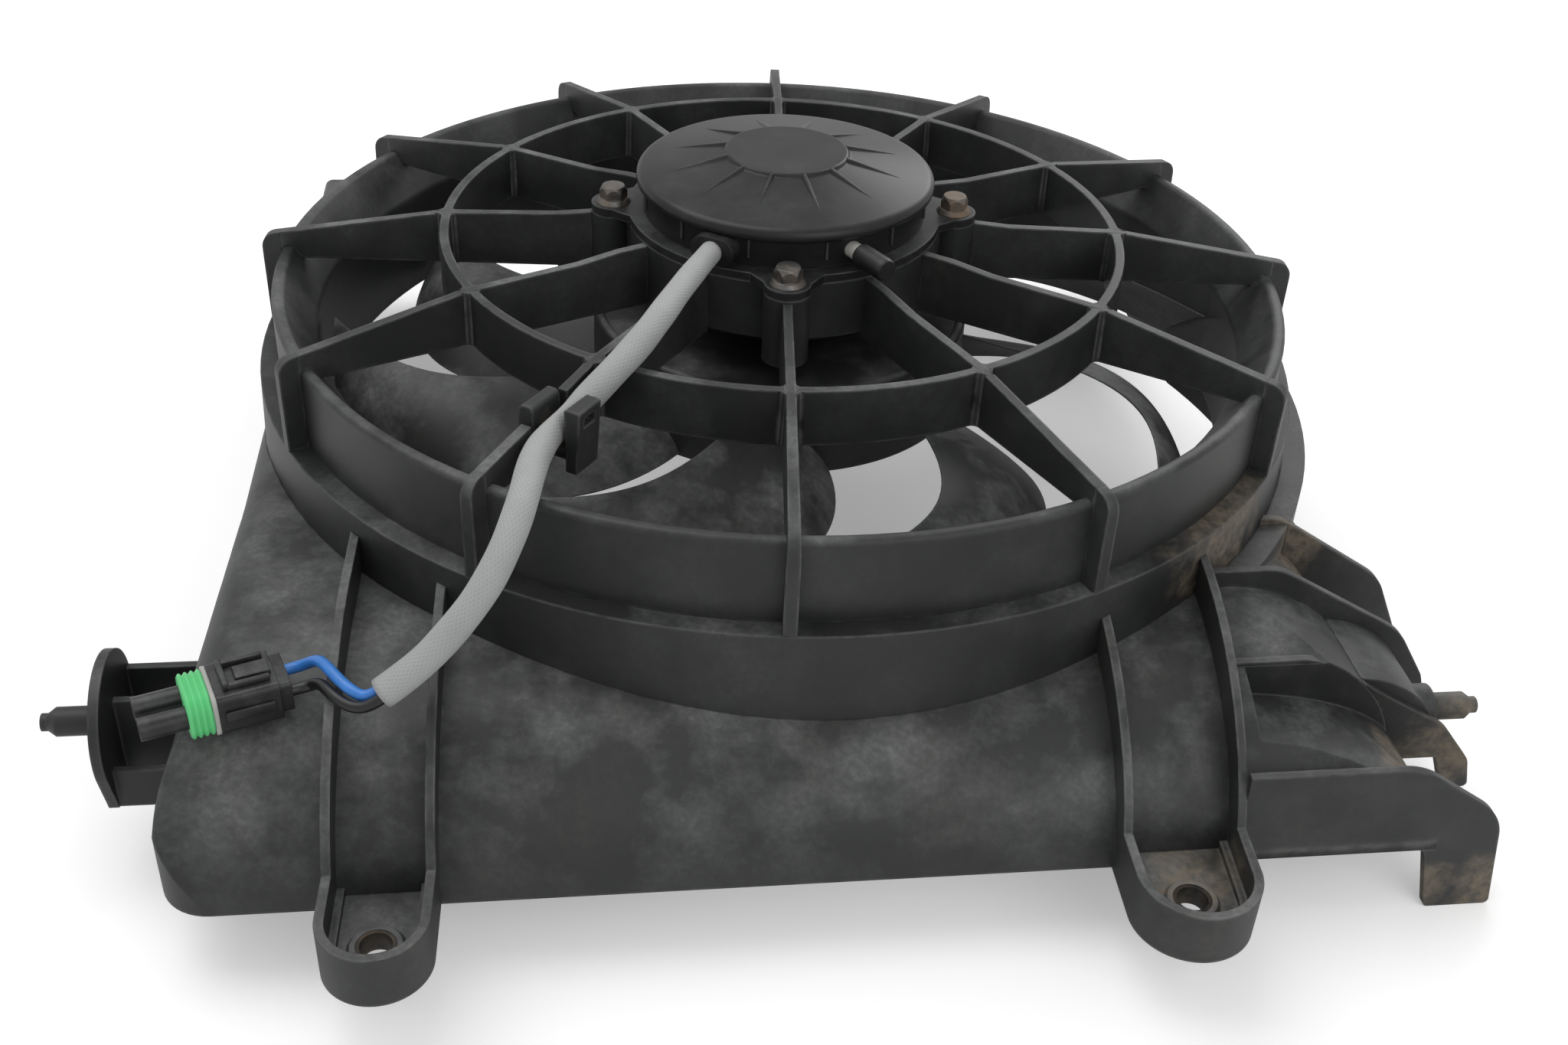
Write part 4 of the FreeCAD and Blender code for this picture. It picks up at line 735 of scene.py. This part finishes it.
def ring_of(name, base_mesh, count, radius, height, material, phase):
    """One plain mesh with copies of a base mesh round the fan's axis."""
    carrier = bpy.data.objects.new(name + "_base", base_mesh)
    bpy.context.scene.collection.objects.link(carrier)
    modifier = carrier.modifiers.new("ring", "NODES")
    modifier.node_group = ring_tree(name + "_tree")
    wanted = {"Count": count, "Radius": radius, "Height": height, "Material": material}
    for item in modifier.node_group.interface.items_tree:
        if item.in_out == "INPUT" and item.name in wanted:
            modifier[item.identifier] = wanted[item.name]
    bpy.context.view_layer.update()
    depsgraph = bpy.context.evaluated_depsgraph_get()
    mesh = bpy.data.meshes.new_from_object(carrier.evaluated_get(depsgraph))
    carrier.modifiers.remove(modifier)
    bpy.data.objects.remove(carrier)
    mesh.transform(Matrix.Rotation(phase, 4, "Z"))
    return add_object(name, mesh, material, smooth=False)


class FAN_OT_stage(bpy.types.Operator):
    """Pale floor, soft lamps and the photograph's camera"""
    bl_idname = "fan.stage"
    bl_label = "Stage"

    def execute(self, context):
        stage = context.scene.fan_stage
        data = bpy.data.cameras.new("camera")
        data.lens = stage.lens
        data.sensor_width = 36.0
        camera = bpy.data.objects.new("camera", data)
        turn = Matrix((CAMERA_RIGHT, CAMERA_UP, CAMERA_BACK)).transposed()
        camera.matrix_world = Matrix.Translation(CAMERA_PLACE) @ turn.to_4x4()
        context.scene.collection.objects.link(camera)
        context.scene.camera = camera
        context.scene.view_settings.view_transform = "Standard"

        low = CAD_BOX[0][2]
        corners = [(x * FLOOR_REACH, y * FLOOR_REACH, low) for x, y in ((-1, -1), (1, -1), (1, 1), (-1, 1))]
        mesh = bpy.data.meshes.new("floor")
        mesh.from_pydata(corners, [], [(0, 1, 2, 3)])
        floor = bpy.data.objects.new("floor", mesh)
        context.scene.collection.objects.link(floor)
        mesh.materials.append(self.floor_material(stage.floor))

        world = bpy.data.worlds.new("soft light")
        context.scene.world = world
        world.use_nodes = True
        tree = world.node_tree
        sky = tree.nodes["Background"]
        sky.inputs["Color"].default_value = (1.0, 1.0, 1.0, 1.0)
        rays = tree.nodes.new("ShaderNodeLightPath")
        seen = maths(tree, "MAXIMUM", rays.outputs["Is Camera Ray"], rays.outputs["Is Transmission Ray"])
        extra = maths(tree, "MULTIPLY", seen, 1.0 - stage.sky)
        tree.links.new(maths(tree, "ADD", extra, stage.sky), sky.inputs["Strength"])

        for name, (place, aim, size) in LAMPS.items():
            lamp = bpy.data.lights.new(name, "AREA")
            lamp.size = size
            lamp.energy = getattr(stage, name + "_power")
            thing = bpy.data.objects.new(name, lamp)
            thing.location = place
            thing.rotation_euler = (Vector(aim) - Vector(place)).to_track_quat("-Z", "Y").to_euler()
            context.scene.collection.objects.link(thing)
        return {"FINISHED"}

    def floor_material(self, colour):
        """Near white to the camera, so that only the object's shadow darkens it."""
        material, shader = new_material("pale floor", 0.9, specular=0.1)
        shader.inputs["Base Color"].default_value = (*colour, 1.0)
        tree = material.node_tree
        rays = tree.nodes.new("ShaderNodeLightPath")
        glow = maths(tree, "MULTIPLY", rays.outputs["Is Camera Ray"], FLOOR_GLOW)
        shader.inputs["Emission Color"].default_value = (1.0, 1.0, 1.0, 1.0)
        tree.links.new(glow, shader.inputs["Emission Strength"])
        return material


class FAN_OT_lead(bpy.types.Operator):
    """Woven sleeve, pinched in its clip, and the two wires that leave it"""
    bl_idname = "fan.lead"
    bl_label = "Lead"

    def execute(self, context):
        sizes = context.scene.fan_sizes
        colours = context.scene.fan_colours
        points = smoothed_route("sleeve_line", SLEEVE_ROUTE)
        radius = sizes.sleeve_radius

        def offset_at(i, out):
            """The sleeve's wall as seen from its middle: thinner at the gland, squeezed in the clip."""
            share = min((points[i] - PINCH_AT).length / PINCH_REACH, 1.0)
            ease = share * share * (3 - 2 * share)
            thin = sizes.pinch + (1 - sizes.pinch) * ease
            squeezed = Vector((out.x * thin, out.y * thin, out.z * (1.0 + PINCH_RISE * (1 - ease))))
            uneven = 1.0 - UNEVEN_SHARE * math.sin(i * UNEVEN_STEP)
            free = min((points[i] - points[0]).length / GLAND_REACH, 1.0)
            return squeezed * radius * uneven * (GLAND_SHARE + (1 - GLAND_SHARE) * free)

        sleeve = swept_tube("sleeve", points, offset_at, SLEEVE_SIDES, woven_sleeve("woven sleeve", colours.sleeve))
        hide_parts("cable_sleeve")
        moulded = [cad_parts["connector_housing"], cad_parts["connector_contacts"]]
        moulded += [bpy.data.objects[name] for name in CONNECTOR_DETAILS]
        for name, route, length, node, colour, pieces in (
                ("blue_lead", BLUE_ROUTE, BLUE_LENGTH, "blue_wire", tuple(colours.blue), moulded),
                ("black_lead", BLACK_ROUTE, BLACK_LENGTH, "black_wire", (0.012, 0.012, 0.013),
                 [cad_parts["connector_retainer"]])):
            curve = lead_curve(name, route)
            curve.bevel_depth = sizes.wire_radius
            curve.bevel_resolution = 6
            curve.use_fill_caps = True
            curve.materials.append(insulation(name + " insulation", colour))
            wire = bpy.data.objects.new(name, curve)
            context.scene.collection.objects.link(wire)
            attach(wire, "shroud")
            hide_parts(node)
        return {"FINISHED"}


class FAN_OT_shroud(bpy.types.Operator):
    """Dusty moulded plastic on every piece of the shroud"""
    bl_idname = "fan.shroud"
    bl_label = "Shroud"

    def execute(self, context):
        clean = context.scene.fan_colours.plastic
        for node, (dust, dirt, wear_and_highlight) in SHROUD_FINISH.items():
            finish_node(node, moulded_plastic("plastic " + node, clean, dust, dirt, wear_and_highlight,
                                              places=SOILED.get(node, ())))
        self.add_fillets(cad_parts["guard_ring"].material_slots[0].material)
        return {"FINISHED"}

    def add_fillets(self, material):
        """Rounded corners where the ribs cross the guard's ring."""
        mesh = bpy.data.meshes.new("fillet")
        build = bmesh.new()
        for outward in (-1, 1):
            for side in (-1, 1):
                rows = []
                for z, rib, ring in FILLET_ROWS:
                    corner = (outward * ring, side * rib)
                    row = [corner]
                    for k in range(FILLET_STEPS + 1):
                        turn = math.pi / 2 * k / FILLET_STEPS
                        row.append((corner[0] + outward * FILLET * (1 - math.sin(turn)),
                                    corner[1] + side * FILLET * (1 - math.cos(turn))))
                    rows.append([build.verts.new((x * MM, y * MM, z * MM)) for x, y in row])
                skin(build, rows)
        write_closed(build, mesh)
        fillets = ring_of("guard_fillets", mesh, RIB_COUNT, GUARD_RADIUS * MM, 0.0, material, RIB_PHASE)


class FAN_OT_blades(bpy.types.Operator):
    """Mottled dust on the blades and the hub"""
    bl_idname = "fan.blades"
    bl_label = "Fan"

    def execute(self, context):
        clean = context.scene.fan_colours.blade
        finish_node("fan_blades", moulded_plastic("plastic blades", clean, 0.85, 0.03, 0.4, roughness=0.45,
                                                  dust_scale=26.0, on_top=0.3, edge=0.0007))
        finish_node("fan_hub", moulded_plastic("plastic hub", clean, 0.45, 0.03, 0.4, dust_scale=30.0))
        return {"FINISHED"}


class FAN_OT_motor(bpy.types.Operator):
    """Satin cover, zinc bolts, rubber gland and the parts inside"""
    bl_idname = "fan.motor"
    bl_label = "Motor"

    def execute(self, context):
        colours = context.scene.fan_colours
        finish_node("motor_cap", painted_metal("satin cover", colours.cover, 0.33, dust=0.10, wear_and_highlight=0.35))
        finish_node("motor_flange", painted_metal("satin flange", colours.cover, 0.42, dust=0.35, wear_and_highlight=0.5))
        finish_node("motor_can", painted_metal("blackened can", (0.05, 0.05, 0.05), 0.45))
        finish_node("motor_bolts", plated_steel("weathered zinc", colours.zinc, 0.42, rust=0.30,
                                                 places=[((70.7, -6.7, 138), 13)]))
        bright = plated_steel("turned steel", (0.62, 0.61, 0.59), 0.28)
        # Painted highlight: a pale matt colour stands in for the bright glint on the vent collar
        finish_node("vent_collar", rubber("pale collar", (0.50, 0.49, 0.46), 0.32, dust=0.05))
        for node in ("lower_bearing", "upper_bearing", "motor_shaft", "connector_contacts",
                     "brush_springs", "hub_washer", "hub_nut"):
            finish_node(node, bright)
        finish_node("threaded_inserts", plated_steel("brass", (0.62, 0.45, 0.18), 0.35))
        finish_node("tab_sleeves", plated_steel("dark collars", (0.055, 0.054, 0.052), 0.5, rust=0.25))
        copper = plated_steel("enamelled copper", (0.70, 0.32, 0.16), 0.3)
        for node in ("armature_windings", "commutator", "motor_leads"):
            finish_node(node, copper)
        finish_node("armature_core", painted_metal("stacked core", (0.12, 0.12, 0.13), 0.5))
        finish_node("magnets", painted_metal("ferrite", (0.10, 0.10, 0.11), 0.7))
        finish_node("brushes", painted_metal("carbon", (0.05, 0.05, 0.055), 0.6))
        black = rubber("black rubber", (0.010, 0.010, 0.0105), 0.42)
        for node in ("cable_gland", "vent_cap", "cap_seal"):
            finish_node(node, black)
        finish_node("brush_holder", rubber("black holder", (0.02, 0.02, 0.02)))
        return {"FINISHED"}


class FAN_OT_neck_ticks(bpy.types.Operator):
    """Small upright ribs round the neck of the motor cover"""
    bl_idname = "fan.neck_ticks"
    bl_label = "Neck ticks"

    def execute(self, context):
        sizes = context.scene.fan_sizes
        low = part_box("motor_cap")[0]
        mesh = bpy.data.meshes.new("tick")
        build = bmesh.new()
        bmesh.ops.create_cube(build, size=1.0)
        for vertex in build.verts:
            vertex.co = Vector([at * size * MM for at, size in zip(vertex.co, TICK_SIZE)])
        build.to_mesh(mesh)
        build.free()
        coat = painted_metal("satin ticks", (0.03, 0.03, 0.031), 0.35, wear_and_highlight=0.6)
        ticks = ring_of("neck_ticks", mesh, sizes.tick_count, sizes.tick_radius, low[2] + TICK_LIFT * MM, coat,
                        BETWEEN_RIBS)
        self.add_creases(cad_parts["motor_cap"].material_slots[0].material)
        return {"FINISHED"}

    def add_creases(self, material):
        """Pressed folds that stand up beside the cover's disc and run out on its dome."""
        mesh = bpy.data.meshes.new("crease")
        build = bmesh.new()
        rows = []
        for radius, half, rise in CREASE_ROWS:
            ridge = half * CREASE_RIDGE
            dome = DOME_EDGE_Z - DOME_SLOPE * (radius - DOME_EDGE_R)
            rows.append([build.verts.new(((radius - CREASE_MIDDLE_R) * MM, y * MM, (dome + z) * MM))
                         for y, z in ((-half, -CREASE_SINK), (-ridge, rise), (ridge, rise), (half, -CREASE_SINK))])
        skin(build, rows)
        write_closed(build, mesh)
        count = bpy.context.scene.fan_sizes.crease_count
        creases = ring_of("cover_creases", mesh, count, CREASE_MIDDLE_R * MM, 0.0, material, BETWEEN_RIBS)


class FAN_OT_connector(bpy.types.Operator):
    """Connector housing with its latch, pale strip and ribbed green seal"""
    bl_idname = "fan.connector"
    bl_label = "Connector"

    def execute(self, context):
        sizes = context.scene.fan_sizes
        colours = context.scene.fan_colours
        move = Matrix.Translation(CONNECTOR_REAR) @ Matrix.Rotation(CONNECTOR_YAW, 4, "Z")
        black = rubber("connector plastic", (0.013, 0.013, 0.014), 0.36, dust=0.35)
        for node in ("connector_housing", "connector_retainer"):
            finish_node(node, black)
        green = rubber("green seal", colours.seal, 0.40, dust=0.05)
        finish_node("connector_seal", green)
        pitch = (SEAL_END - STRIP_END) / sizes.seal_ribs
        rows = []
        for k in range(sizes.seal_ribs):
            base = STRIP_END + k * pitch
            for share, lip in LIP_PROFILE:
                inset = sizes.seal_lip * (1 - lip)
                rows.append((base + share * pitch, *(half - inset for half in SEAL_SECTION)))
        seal = lofted("seal_ribs", rows, green, move)
        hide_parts("connector_seal")
        strip = lofted("pale_strip", [(x, *STRIP_SECTION) for x in (STRIP_START, STRIP_END)],
                       rubber("pale strip", (0.42, 0.42, 0.40), 0.5), move)
        for name, (low, high) in LATCH_BLOCKS.items():
            block = bevelled_box(name, low, high, BLOCK_BEVEL, black, move)
        return {"FINISHED"}


STEPS = (FAN_OT_stage, FAN_OT_lead, FAN_OT_shroud, FAN_OT_blades, FAN_OT_motor, FAN_OT_neck_ticks,
         FAN_OT_connector)


class FAN_PT_panel(bpy.types.Panel):
    """Lists the steps that finish the cooling fan"""
    bl_idname = "FAN_PT_panel"
    bl_label = "Cooling fan"
    bl_space_type = "VIEW_3D"
    bl_region_type = "UI"
    bl_category = "Cooling fan"

    def draw(self, context):
        for step in STEPS:
            self.layout.operator(step.bl_idname)
        for name in ("fan_sizes", "fan_colours", "fan_stage"):
            settings = getattr(context.scene, name)
            for key in settings.__annotations__:
                self.layout.prop(settings, key)


CLASSES = (FanSizes, FanColours, FanStage, *STEPS, FAN_PT_panel)


def register():
    for made in CLASSES:
        bpy.utils.register_class(made)
    bpy.types.Scene.fan_sizes = bpy.props.PointerProperty(type=FanSizes)
    bpy.types.Scene.fan_colours = bpy.props.PointerProperty(type=FanColours)
    bpy.types.Scene.fan_stage = bpy.props.PointerProperty(type=FanStage)


def unregister():
    for name in ("fan_sizes", "fan_colours", "fan_stage"):
        delattr(bpy.types.Scene, name)
    for made in reversed(CLASSES):
        bpy.utils.unregister_class(made)


def main():
    register()
    bpy.ops.fan.stage()
    bpy.ops.fan.connector()
    bpy.ops.fan.lead()
    bpy.ops.fan.shroud()
    bpy.ops.fan.blades()
    bpy.ops.fan.motor()
    bpy.ops.fan.neck_ticks()


if __name__ == "__main__":
    main()
